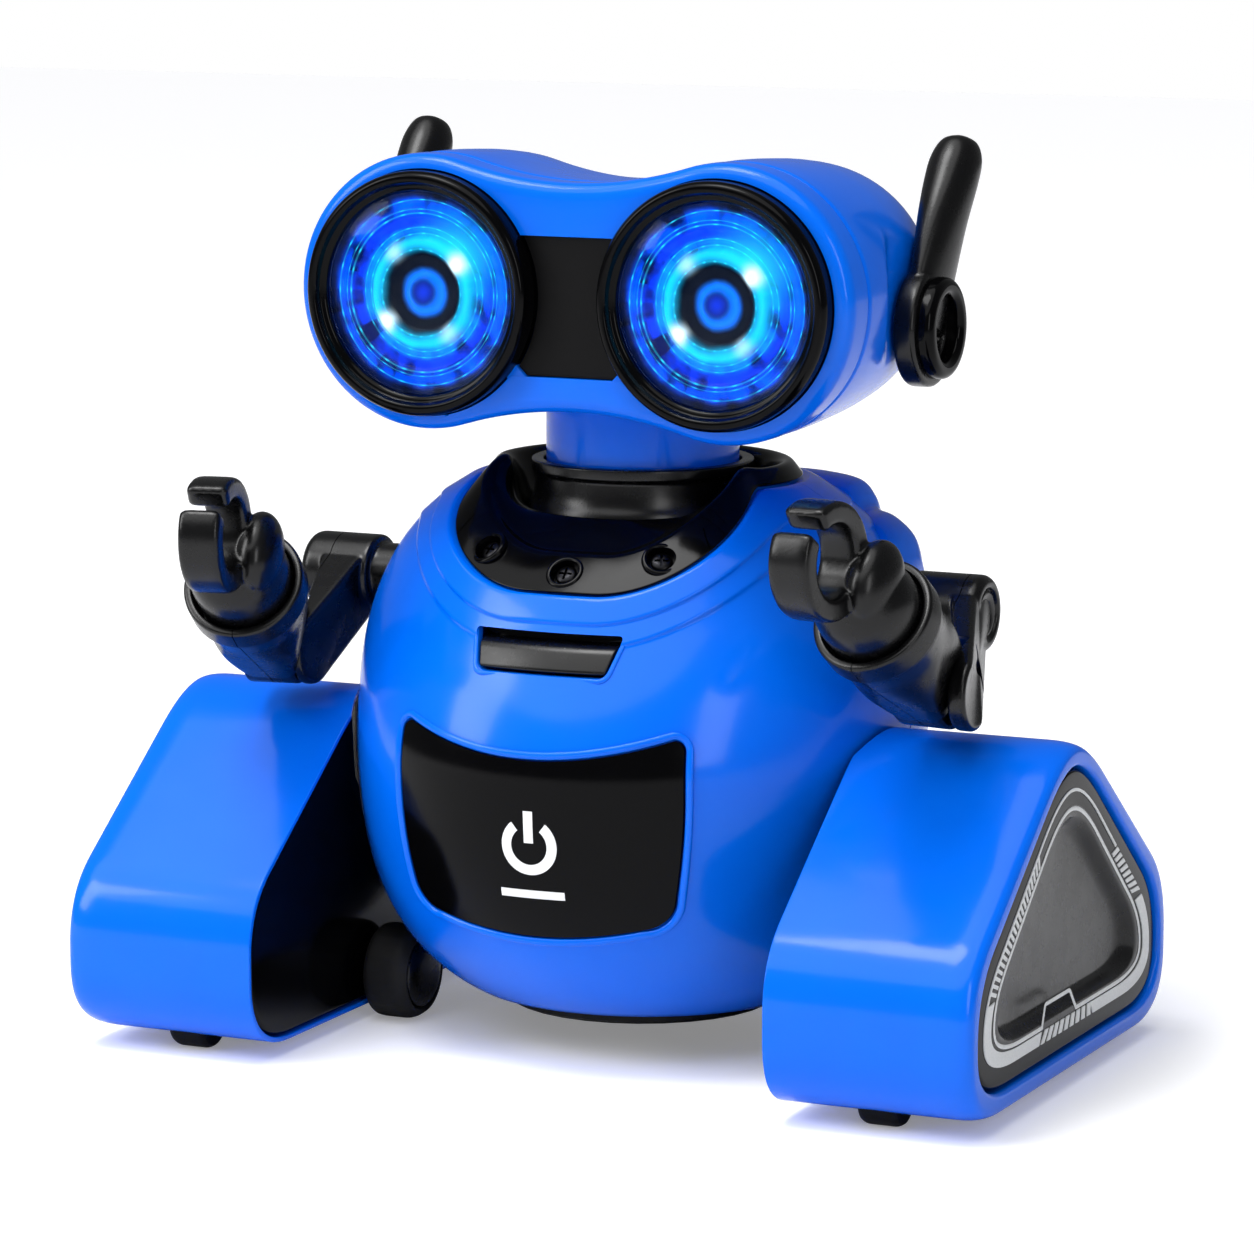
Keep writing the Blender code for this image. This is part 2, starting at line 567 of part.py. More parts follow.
def forearm(side, sign):
    axis, along, _ = arm_axes(side)
    elbow = elbow_centre(side)
    middle = elbow - axis * FOREARM_WIDTH / 2
    cup = middle + along * FOREARM_LENGTH[side]
    solid = hull(np.concatenate([
        barrel_points(elbow, axis, -FOREARM_WIDTH, -GAP, ELBOW_RADIUS),
        barrel_points(cup, along, -5.5, 0.0, CUP_RADIUS, 20),
    ]))
    pin = rod(elbow - axis * 2, elbow + axis * 2.2, 3.0, 14)
    well = rod(cup - along * 8.0, cup + along * 4, STEM_RADIUS + 0.5, 20)
    joint_room = rod(elbow - axis * 0.1, elbow + axis * 14, ELBOW_RADIUS + 7.0, 20)
    frame = frame_along(axis)
    square = np.array([(-50, -50, 0), (50, -50, 0), (50, 50, 0), (-50, 50, 0)], float)
    for half, keep in (("outer", sign), ("inner", -sign)):
        obj = add_object(f"forearm_{half}_{side}", solid, BLACK, origin=elbow)
        start = middle + axis * keep * GAP / 2
        waste = stack([square @ frame + start, (square + (0, 0, -keep * 40)) @ frame + start])
        combine(obj, "DIFFERENCE", waste, well, joint_room)
        if keep > 0:
            combine(obj, "UNION", pin)
    return cup


def hand(side, cup):
    """A claw of two hooked fingers, with a rounded lobe beside them and a stem in the forearm's cup."""
    axis, along, rise = arm_axes(side)
    centre = cup + along * CLAW_REACH - rise * 0.5
    outer, inner = 11.2, 6.7
    turn = np.linspace(np.radians(20), 2 * np.pi - 0.04, 17)
    arc = np.stack([np.cos(turn), np.sin(turn)], 1)
    outline = np.concatenate([arc * outer, (arc * inner)[::-1]])
    rings = [centre + np.outer(outline[:, 0], along) + np.outer(outline[:, 1], rise) + axis * s for s in CLAW_X[side]]
    obj = add_object(f"hand_{side}", stack(rings), BLACK, origin=cup)
    r = STEM_RADIUS
    stem = turned([(r, -7.5), (r, 4.0), (r - 0.6, 7.0), (r - 3.0, 10.5)], 20, frame_along(along), cup)
    lobe_centre = cup + axis * (CLAW_X[side][1] + 1.2) + along * 8.0 + rise * 2.2
    lobe = []
    for lean in np.radians((-75, -45, -15, 15, 45, 75)):
        angle = np.linspace(0, 2 * np.pi, 12, endpoint=False)
        ring = lobe_centre + axis * 4.4 * np.sin(lean)
        ring = ring + np.outer(6.4 * np.cos(lean) * np.cos(angle), along)
        lobe.append(ring + np.outer(8.2 * np.cos(lean) * np.sin(angle), rise))
    combine(obj, "UNION", stem, stack(lobe))


# ---------------------------------------------------------------- pods and wheels
def pod_outline(inset, x, count=4):
    """The pod's side profile: a wide triangle with upright ends, its corners rounded by arcs."""
    half, low, top = POD_HALF_LENGTH - inset, POD_FLOOR_Z + inset, POD_APEX_Z - inset
    rise = 0.66 * inset
    end_z, apex = POD_SHOULDER_Z - rise, 6.5
    corners = [(half, low, 16), (half, end_z, 10), (apex, top, 12), (-apex, top, 12), (-half, end_z, 10),
               (-half, low, 16)]
    points = []
    for i, (y, z, cut) in enumerate(corners):
        here = np.array([y, z])
        before = np.array(corners[i - 1][:2]) - here
        after = np.array(corners[(i + 1) % len(corners)][:2]) - here
        start = here + before / np.linalg.norm(before) * min(cut, np.linalg.norm(before) * 0.46)
        end = here + after / np.linalg.norm(after) * min(cut, np.linalg.norm(after) * 0.46)
        for t in np.linspace(0, 1, count):
            points.append((1 - t) ** 2 * start + 2 * t * (1 - t) * here + t**2 * end)
    points = np.array(points)
    return np.stack([np.full(len(points), x), POD_MID_Y + points[:, 0], points[:, 1]], 1)


def pod(side, sign):
    def ring(inset, x):
        return pod_outline(inset, sign * x)

    shell_rows = [(0, POD_IN_X), (0, 89), (0.8, 92.4), (2.4, 94.3), (3.6, POD_OUT_X), (4.6, 94.3), (4.8, 89.4),
                  (2.2, 88.8), (2.2, POD_IN_X)]
    shell = add_object(f"pod_shell_{side}", stack([ring(*row) for row in shell_rows], loop=True), BLUE)
    body_room = turned([(float(body_half_width(z)) + 1.0, z) for z in (22, 34, 46, 58, 70, 80)], 32)
    roller_rooms = [box((sign * ROLLER_X - 5.5, y - 6.5, -2), (sign * ROLLER_X + 5.5, y + 6.5, 12))
                    for y in ROLLER_Y.values()]
    combine(shell, "DIFFERENCE", body_room, *roller_rooms)
    plate_rows = [(5.1, 89.6), (5.1, 92.3), (5.9, 92.9), (9.2, 92.9), (10.6, 91.3)]
    add_object(f"pod_panel_{side}", stack([ring(*row) for row in plate_rows]), BLACK)
    cover = add_object(f"pod_inner_cover_{side}", stack([ring(2.5, COVER_X), ring(2.5, COVER_X + 1.5)]), DARK)
    rib = box(*sorted_box(sign, 55.0, 60.0, -17.0, -15.2, 12, 44))
    boss = rod((sign * 53.6, WHEEL_Y, WHEEL_RADIUS), (sign * 60, WHEEL_Y, WHEEL_RADIUS), 4.2, 16)
    combine(cover, "UNION", rib, boss)
    strut_hole = rod((sign * 50, 0, STRUT_Z), (sign * 70, 0, STRUT_Z), STRUT_RADIUS + GAP, 16)
    axle_hole = rod((sign * 50, WHEEL_Y, WHEEL_RADIUS), (sign * 70, WHEEL_Y, WHEEL_RADIUS), 1.5 + GAP, 12)
    combine(cover, "DIFFERENCE", strut_hole, axle_hole)


def sorted_box(sign, x0, x1, y0, y1, z0, z1):
    """Corners of a box that is mirrored to the side's sign."""
    xs = sorted((sign * x0, sign * x1))
    return (xs[0], y0, z0), (xs[1], y1, z1)


def wheels(side, sign):
    axle = np.array([0, WHEEL_Y, WHEEL_RADIUS])
    frame = frame_along((sign, 0, 0))
    r = WHEEL_RADIUS
    tyre = [(7.4, 44.4), (8.7, 43.6), (r, 44.8), (r, 51.4), (8.7, 52.4), (7.4, 52.4)]
    add_object(f"drive_tyre_{side}", turned(tyre, 20, frame, axle, loop=True), RUBBER, origin=axle + (sign * 48, 0, 0))
    hub = [(1.5, 66.0), (1.5, 52.4), (7.1, 52.4), (7.1, 44.2), (6.0, 42.6), (3.0, 41.6)]
    add_object(f"drive_hub_{side}", turned(hub, 20, frame, axle), BLACK, origin=axle + (sign * 48, 0, 0))
    gearbox = box(*sorted_box(sign, COVER_X + 2.0, 80, -26, 8, 8.0, 44))
    obj = add_object(f"drive_gearbox_{side}", gearbox, DARK)
    room = rod(axle + (sign * 58, 0, 0), axle + (sign * 68, 0, 0), 1.5 + GAP, 12)
    tube_room = rod((sign * 58, 0, STRUT_Z), (sign * 73, 0, STRUT_Z), STRUT_RADIUS + GAP, 16)
    combine(obj, "DIFFERENCE", room, tube_room)
    roller = [(4.4, -4.0), (ROLLER_RADIUS, -3.4), (ROLLER_RADIUS, 3.4), (4.4, 4.0)]
    for end, y in ROLLER_Y.items():
        centre = np.array([sign * ROLLER_X, y, ROLLER_RADIUS])
        add_object(f"{end}_roller_{side}", turned(roller, 16, frame, centre), BLACK, origin=centre)


def main():
    clear_scene()
    body_shells()
    chest()
    shoulder_cowl()
    neck_collar()
    chassis()
    neck_tube()
    face()
    head_rear_shell()
    for side, sign in SIDES.items():
        eye(side, sign)
        ear(side, sign)
        upper_arm(side, sign)
        hand(side, forearm(side, sign))
        pod(side, sign)
        wheels(side, sign)


main()
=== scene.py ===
# %% [markdown]
# # A toy robot around its CAD frame
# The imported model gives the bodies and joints. Every visible moulding is drawn again here as a smooth surface,
# in the same place, and rides on the body that carries it.

import bmesh
import bpy
import numpy as np
from mathutils import Matrix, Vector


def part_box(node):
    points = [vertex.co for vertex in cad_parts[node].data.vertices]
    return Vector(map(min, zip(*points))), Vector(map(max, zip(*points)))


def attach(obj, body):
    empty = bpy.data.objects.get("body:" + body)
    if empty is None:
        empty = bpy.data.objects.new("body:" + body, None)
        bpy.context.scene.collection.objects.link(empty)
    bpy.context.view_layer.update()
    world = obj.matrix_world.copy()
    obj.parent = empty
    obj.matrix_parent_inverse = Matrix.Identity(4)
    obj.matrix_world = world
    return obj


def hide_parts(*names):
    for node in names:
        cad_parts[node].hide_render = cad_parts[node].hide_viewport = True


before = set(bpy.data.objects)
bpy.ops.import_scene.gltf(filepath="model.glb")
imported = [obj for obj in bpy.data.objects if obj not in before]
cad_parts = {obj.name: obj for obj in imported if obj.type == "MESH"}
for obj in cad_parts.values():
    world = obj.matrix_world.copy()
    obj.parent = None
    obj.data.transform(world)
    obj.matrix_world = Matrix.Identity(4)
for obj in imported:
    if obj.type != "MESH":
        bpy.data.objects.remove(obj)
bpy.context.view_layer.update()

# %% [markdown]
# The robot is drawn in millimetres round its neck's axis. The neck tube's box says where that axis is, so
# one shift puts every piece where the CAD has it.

MM = 0.001
neck_low, neck_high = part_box("neck_tube")
NECK_Y = (neck_low[1] + neck_high[1]) / 2 / MM
SIDES = {"left": -1.0, "right": 1.0}
UP = np.array([0.0, 0.0, 1.0])
print(f"neck axis at y = {NECK_Y:.2f} mm")

# %% [markdown]
# ## Grids
# A surface is a function of two parameters worked out on a grid. These helpers turn a grid into a closed mesh.


# %% Grid helpers
def grid_faces(rows, columns, wrap_rows=False, wrap_columns=True):
    """Quads between neighbours of a grid whose rows follow each other in memory."""
    i = np.arange(rows if wrap_rows else rows - 1)[:, None]
    j = np.arange(columns if wrap_columns else columns - 1)[None, :]
    k, m = (i + 1) % rows, (j + 1) % columns
    return np.stack([i * columns + j, i * columns + m, k * columns + m, k * columns + j], -1).reshape(-1, 4)


def tube(rings, loop=False):
    """Rings (n, m, 3) joined in turn. The ends run in to their middles, or meet each other when loop is set."""
    rings = np.asarray(rings, float)
    if not loop:
        ends = [np.broadcast_to(rings[k].mean(0), rings[k].shape)[None] for k in (0, -1)]
        rings = np.concatenate([ends[0], rings, ends[1]])
    return rings.reshape(-1, 3), grid_faces(*rings.shape[:2], wrap_rows=loop)


def plate(outer, inner):
    """A closed plate between two grids of one shape: both faces and a rim of quads."""
    rows, columns, _ = outer.shape
    size = rows * columns
    index = np.arange(size).reshape(rows, columns)
    face = grid_faces(rows, columns, wrap_columns=False)
    rim = np.concatenate([index[0, :], index[1:, -1], index[-1, -2::-1], index[-2:0:-1, 0]])
    after = np.roll(rim, -1)
    side = np.stack([rim, size + rim, size + after, after], -1)
    return np.concatenate([outer.reshape(-1, 3), inner.reshape(-1, 3)]), np.concatenate(
        [face, size + face[:, ::-1], side])


def rounded(corners, cuts, steps=7, closed=False):
    """Each corner C becomes (1-t)^2 S + 2t(1-t) C + t^2 E, where S and E lie `cut` before and after it."""
    here = np.asarray(corners, float)
    cuts = np.broadcast_to(np.asarray(cuts, float), len(here)).copy()
    if not closed:
        cuts[[0, -1]] = 0
    cuts = cuts.reshape(-1, *[1] * (here.ndim - 1))
    before, after = np.roll(here, 1, 0) - here, np.roll(here, -1, 0) - here
    length_b = np.linalg.norm(before, axis=-1, keepdims=True) + 1e-9
    length_a = np.linalg.norm(after, axis=-1, keepdims=True) + 1e-9
    start = here + before / length_b * np.minimum(cuts, 0.48 * length_b)
    end = here + after / length_a * np.minimum(cuts, 0.48 * length_a)
    t = np.linspace(0, 1, steps).reshape(-1, *[1] * (here.ndim - 1))
    curve = (1 - t) ** 2 * start[:, None] + 2 * t * (1 - t) * here[:, None] + t**2 * end[:, None]
    return curve.reshape(-1, *here.shape[1:])


def through(rows, count):
    """A smooth curve through rows of numbers: a Catmull-Rom spline, sampled at even steps."""
    rows = np.asarray(rows, float)
    padded = np.concatenate([2 * rows[:1] - rows[1:2], rows, 2 * rows[-1:] - rows[-2:-1]])
    at = np.linspace(0, len(rows) - 1.0001, count)
    k = at.astype(int)
    t = (at - k)[:, None]
    p0, p1, p2, p3 = (padded[k + n] for n in range(4))
    return 0.5 * (2 * p1 + (p2 - p0) * t + (2 * p0 - 5 * p1 + 4 * p2 - p3) * t**2 + (3 * p1 - p0 - 3 * p2 + p3) * t**3)


def smooth(value, low, high):
    """A smooth step, t t (3 - 2 t), where t runs from 0 at low to 1 at high."""
    t = np.clip((np.asarray(value, float) - low) / (high - low), 0, 1)
    return t * t * (3 - 2 * t)


def axes(axis, up=(0, 0, 1)):
    """Two unit vectors square to an axis, then the axis, as rows."""
    axis = np.asarray(axis, float) / np.linalg.norm(axis)
    side = np.cross(up, axis)
    side = side / np.linalg.norm(side)
    return np.stack([side, np.cross(axis, side), axis])


def turned(profile, axis=(0, 0, 1), centre=(0, 0, 0), sides=96, loop=False, up=(0, 1, 0)):
    """A turned shape: (radius, height) carried round the axis, radius (cos a u + sin a v) + height w."""
    u, v, w = axes(axis, up)
    r, h = np.asarray(profile, float).T
    a = np.linspace(0, 2 * np.pi, sides, endpoint=False)
    spokes = np.cos(a)[:, None] * u + np.sin(a)[:, None] * v
    rings = np.asarray(centre) + r[:, None, None] * spokes + h[:, None, None] * w
    return rings.reshape(-1, 3), grid_faces(*rings.shape[:2], wrap_rows=loop)


def rod(start, end, radius, sides=64):
    """A plain round cutter from point to point."""
    start, end = np.asarray(start, float), np.asarray(end, float)
    length = np.linalg.norm(end - start)
    axis = (end - start) / length
    up = (0, 0, 1) if abs(axis[2]) < 0.9 else (0, 1, 0)
    return turned([(0, 0), (radius, 0), (radius, length), (0, length)], axis, start, sides, up=up)


def joined(*shapes):
    """Several shapes' points and faces as one list of each."""
    points, faces, start = [], [], 0
    for p, f in shapes:
        points.append(p)
        faces.append(np.asarray(f) + start)
        start += len(p)
    return np.concatenate(points), np.concatenate(faces)


# %% [markdown]
# ## From shape to piece
# A mesh has its doubles merged and its faces turned outwards. Cuts are exact Booleans that are applied at
# once, so a piece holds only its own mesh. Soft joins are melted: a voxel grid finds the common skin of
# overlapping shapes, and a little smoothing turns the joins into fillets.


# %% Piece helpers
def new_object(name, shape):
    """A mesh object from points in mm, with its doubles merged and its faces turned outwards."""
    points, faces = shape
    mesh = bpy.data.meshes.new(name)
    mesh.from_pydata(((points + (0, NECK_Y, 0)) * MM).tolist(), [], np.asarray(faces).tolist())
    work = bmesh.new()
    work.from_mesh(mesh)
    bmesh.ops.remove_doubles(work, verts=work.verts, dist=2e-6)
    bmesh.ops.recalc_face_normals(work, faces=work.faces)
    work.to_mesh(mesh)
    work.free()
    obj = bpy.data.objects.new(name, mesh)
    bpy.context.collection.objects.link(obj)
    return obj


def apply_modifiers(obj):
    """The evaluated mesh takes the place of the old one."""
    graph = bpy.context.evaluated_depsgraph_get()
    mesh = bpy.data.meshes.new_from_object(obj.evaluated_get(graph))
    old, obj.data = obj.data, mesh
    obj.modifiers.clear()
    bpy.data.meshes.remove(old)


def carve(obj, *shapes, operation="DIFFERENCE"):
    """Cuts closed shapes out of a piece, or adds them with UNION."""
    for shape in shapes:
        tool = new_object("tool", shape)
        cut = obj.modifiers.new("cut", "BOOLEAN")
        cut.operation, cut.solver, cut.object = operation, "EXACT", tool
        apply_modifiers(obj)
        bpy.data.objects.remove(tool)
    return obj


def melted(name, shapes, voxel=0.4, rounds=5):
    """The common skin of overlapping shapes on a voxel grid in mm, then rounds of smoothing."""
    obj = new_object(name, joined(*shapes))
    remesh = obj.modifiers.new("skin", "REMESH")
    remesh.mode, remesh.voxel_size = "VOXEL", voxel * MM
    soften = obj.modifiers.new("soften", "SMOOTH")
    soften.factor, soften.iterations = 0.5, rounds
    apply_modifiers(obj)
    return obj


def half_of(obj, name, point, normal):
    """The part of a closed mesh on the side its normal points to, with the cut filled."""
    work = bmesh.new()
    work.from_mesh(obj.data)
    where = (np.asarray(point) + (0, NECK_Y, 0)) * MM
    cut = bmesh.ops.bisect_plane(work, geom=[*work.verts, *work.edges, *work.faces], plane_co=where,
                                 plane_no=normal, clear_inner=True)
    rim = [e for e in cut["geom_cut"] if isinstance(e, bmesh.types.BMEdge)]
    bmesh.ops.triangle_fill(work, edges=rim, use_beauty=True)
    bmesh.ops.recalc_face_normals(work, faces=work.faces)
    mesh = bpy.data.meshes.new(name)
    work.to_mesh(mesh)
    work.free()
    piece = bpy.data.objects.new(name, mesh)
    bpy.context.collection.objects.link(piece)
    return piece


def finish_piece(obj, material, body, slot, *stands_for, crease=38, bevel=0.0):
    """Gives a piece its material, sharp edges above an angle and its body, and hides the CAD nodes it stands for. The
    slot is not used.
    """
    obj.data.materials.clear()
    obj.data.materials.append(material)
    obj.data.shade_smooth()
    obj.data.set_sharp_from_angle(angle=np.radians(crease))
    if bevel:
        edge = obj.modifiers.new("edge", "BEVEL")
        edge.width, edge.segments, edge.limit_method = bevel * MM, 3, "ANGLE"
        edge.angle_limit, edge.harden_normals = np.radians(50), False
    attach(obj, body)
    if stands_for:
        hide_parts(*stands_for)
    print(f"{obj.name}: {len(obj.data.polygons)} faces on {body}")
    return obj


# %% [markdown]
# ## Finishes
# One function adds a node. Colours are written as sRGB hex and turned to linear light.


# %% Node and colour helpers
def linear(hexa):
    """sRGB hex to linear RGBA."""
    c = np.array([int(hexa[k:k + 2], 16) / 255 for k in (1, 3, 5)])
    return (*np.where(c <= 0.04045, c / 12.92, ((c + 0.055) / 1.055) ** 2.4).tolist(), 1.0)


def add(tree, kind, inputs=(), out=0, **settings):
    """Adds a node with its settings. Each input is a number, a colour or another node's output."""
    made = tree.nodes.new(kind)
    for key, value in settings.items():
        setattr(made, key, value)
    for key, value in dict(inputs).items():
        if isinstance(value, bpy.types.NodeSocket):
            tree.links.new(value, made.inputs[key])
        else:
            made.inputs[key].default_value = value
    return made.outputs[out]


def new_material(name):
    """A node material, its tree and its shader."""
    material = bpy.data.materials.new(name)
    material.use_nodes = True
    return material, material.node_tree, material.node_tree.nodes["Principled BSDF"]


# %% [markdown]
# Most of the robot is moulded ABS. A polished mould leaves it glossy, with a slow ripple where the plastic
# shrank and a faint haze from handling. Satin parts come from a mould with a fine spark-eroded grain. The
# grain is drawn at 0.5 mm, coarser than the real 0.1 mm, so that it shows.

# %% Moulded ABS
def moulded_abs(name, colour, shade, rough, rough_spread, grain_mm, grain_depth, ripple_depth, coat=0.0, shine=0.5):
    """Plastic: cloud mixes two tones, haze varies the roughness, and ripple and grain bump the surface."""
    material, tree, shader = new_material(name)
    place = add(tree, "ShaderNodeTexCoord", out=3)
    cloud = add(tree, "ShaderNodeTexNoise", {"Vector": place, "Scale": 1 / (28 * MM), "Detail": 3.0})
    haze = add(tree, "ShaderNodeTexNoise", {"Vector": place, "Scale": 1 / (7 * MM), "Detail": 5.0, "Roughness": 0.65})
    grain = add(tree, "ShaderNodeTexNoise", {"Vector": place, "Scale": 1 / (grain_mm * MM), "Detail": 2.0})
    mixed = add(tree, "ShaderNodeMix", {0: cloud, 6: linear(colour), 7: linear(shade)}, out=2, data_type="RGBA")
    tree.links.new(mixed, shader.inputs["Base Color"])
    spread = {0: haze, 1: 0.3, 2: 0.7, 3: rough - rough_spread, 4: rough + rough_spread}
    tree.links.new(add(tree, "ShaderNodeMapRange", spread), shader.inputs["Roughness"])
    ripple = add(tree, "ShaderNodeBump", {"Strength": 1.0, "Distance": ripple_depth * MM, "Height": cloud})
    bump = {"Strength": 1.0, "Distance": grain_depth * MM, "Height": grain, "Normal": ripple}
    tree.links.new(add(tree, "ShaderNodeBump", bump), shader.inputs["Normal"])
    shader.inputs["IOR"].default_value = 1.53
    shader.inputs["Specular IOR Level"].default_value = shine
    shader.inputs["Coat Weight"].default_value = coat
    shader.inputs["Coat Roughness"].default_value = 0.04
    return material


# The numbers are roughness and its spread, grain size and depth in mm, ripple depth in mm, coat and shine.
# Polished blue body plastic, with crisp highlights under a thin clear skin.
blue_gloss = moulded_abs("moulded_abs_blue_gloss", "#006AEC", "#005FDE", 0.17, 0.03, 0.7, 0.003, 0.12, 0.06, 0.17)
# Piano black: deep, with the sharpest reflections on the toy.
black_gloss = moulded_abs("moulded_abs_black_gloss", "#040405", "#020203", 0.13, 0.03, 0.7, 0.002, 0.06, 0.0, 0.09)
# Arms and ears: black with a broad soft sheen.
black_satin = moulded_abs("moulded_abs_black_satin", "#060607", "#040405", 0.27, 0.04, 0.5, 0.008, 0.05, 0.0, 0.3)
# The pods' sunken faces, a shade greyer than the black round them.
charcoal = moulded_abs("moulded_abs_charcoal_satin", "#1A1A1B", "#131314", 0.27, 0.04, 0.5, 0.006, 0.05, 0.0, 0.24)
# Chassis and bridge: a spark-eroded grain that hardly shines.
dark_matte = moulded_abs("moulded_abs_dark_grained", "#0B0B0C", "#070708", 0.42, 0.05, 0.5, 0.012, 0.05, 0.0, 0.12)
# Thermoplastic rubber: dull, with a coarse skin.
rubber = moulded_abs("moulded_tpr_rubber", "#121213", "#0C0C0D", 0.66, 0.08, 0.6, 0.03, 0.05, 0.0, 0.3)
print("six moulded plastics")


# %% [markdown]
# The screws are zinc-plated steel turned dark. The hatch print is silver-white ink with a faint screen grain,
# and the battery wrap and circuit board are hidden inside but keep their own finish.

# %% Steel, print and electronics
def flecked(name, colour, other, rough, size_mm, metallic=0.0, depth=0.004):
    """Two colours mixed by a noise of a given size, with the same noise in the roughness and the bump."""
    material, tree, shader = new_material(name)
    place = add(tree, "ShaderNodeTexCoord", out=3)
    fleck = add(tree, "ShaderNodeTexNoise", {"Vector": place, "Scale": 1 / (size_mm * MM), "Detail": 4.0})
    mixed = add(tree, "ShaderNodeMix", {0: fleck, 6: linear(colour), 7: linear(other)}, out=2, data_type="RGBA")
    tree.links.new(mixed, shader.inputs["Base Color"])
    spread = {0: fleck, 1: 0.3, 2: 0.7, 3: rough * 0.8, 4: rough * 1.2}
    tree.links.new(add(tree, "ShaderNodeMapRange", spread), shader.inputs["Roughness"])
    bump = {"Strength": 1.0, "Distance": depth * MM, "Height": fleck}
    tree.links.new(add(tree, "ShaderNodeBump", bump), shader.inputs["Normal"])
    shader.inputs["Metallic"].default_value = metallic
    return material


steel = flecked("zinc_plated_steel_dark", "#2A2A2C", "#17171A", 0.32, 0.8, metallic=1.0)
white_ink = flecked("pad_printed_white_ink", "#F4F5F6", "#E6E8EA", 0.45, 0.4)
silver_ink = flecked("screen_printed_silver_ink", "#DADCDD", "#BFC2C4", 0.4, 0.4)
board_green = flecked("solder_masked_circuit_board", "#0E5A2C", "#0A4522", 0.4, 1.5)
wrap = flecked("shrink_wrapped_battery", "#1E6BB8", "#185A9E", 0.3, 3.0)

# %% [markdown]
# The eye is a ring of small blue lamps behind a faceted dish. Its light is drawn on the dish's own map, where
# the middle is (0.5, 0.5): rings of colour, four hot spots where the lamps sit, and cells that catch the light
# unevenly.

# %% The lit dish
EYE_RINGS = (
    # radius, half width, colour
    (0.00, 0.12, "#0230C8"),
    (0.185, 0.065, "#0A78FF"),
    (0.33, 0.085, "#01040F"),
    (0.50, 0.085, "#12C8FF"),
    (0.62, 0.07, "#0070FF"),
    (0.72, 0.08, "#0030D8"),
    (0.86, 0.085, "#004CF0"),
    (1.00, 0.07, "#010A30"),
)
MATH = "ShaderNodeMath"
# radius, half width
THIN_RINGS = ((0.43, 0.014), (0.58, 0.010), (0.64, 0.008), (0.78, 0.011), (0.82, 0.007), (0.91, 0.009))


def off_ring(tree, radius, at):
    """How far a point's radius is from a ring's, |radius - at|."""
    away = add(tree, MATH, {0: radius, 1: at}, operation="SUBTRACT")
    return add(tree, MATH, {0: away}, operation="ABSOLUTE")


def peaks(tree, angle, count, turned_by, low, high):
    """A wave round the ring, low + high cos(count angle + turned_by)."""
    phase = add(tree, MATH, {0: angle, 1: count, 2: turned_by}, operation="MULTIPLY_ADD")
    wave = add(tree, MATH, {0: phase}, operation="COSINE")
    return add(tree, MATH, {0: wave, 1: high, 2: low}, operation="MULTIPLY_ADD")


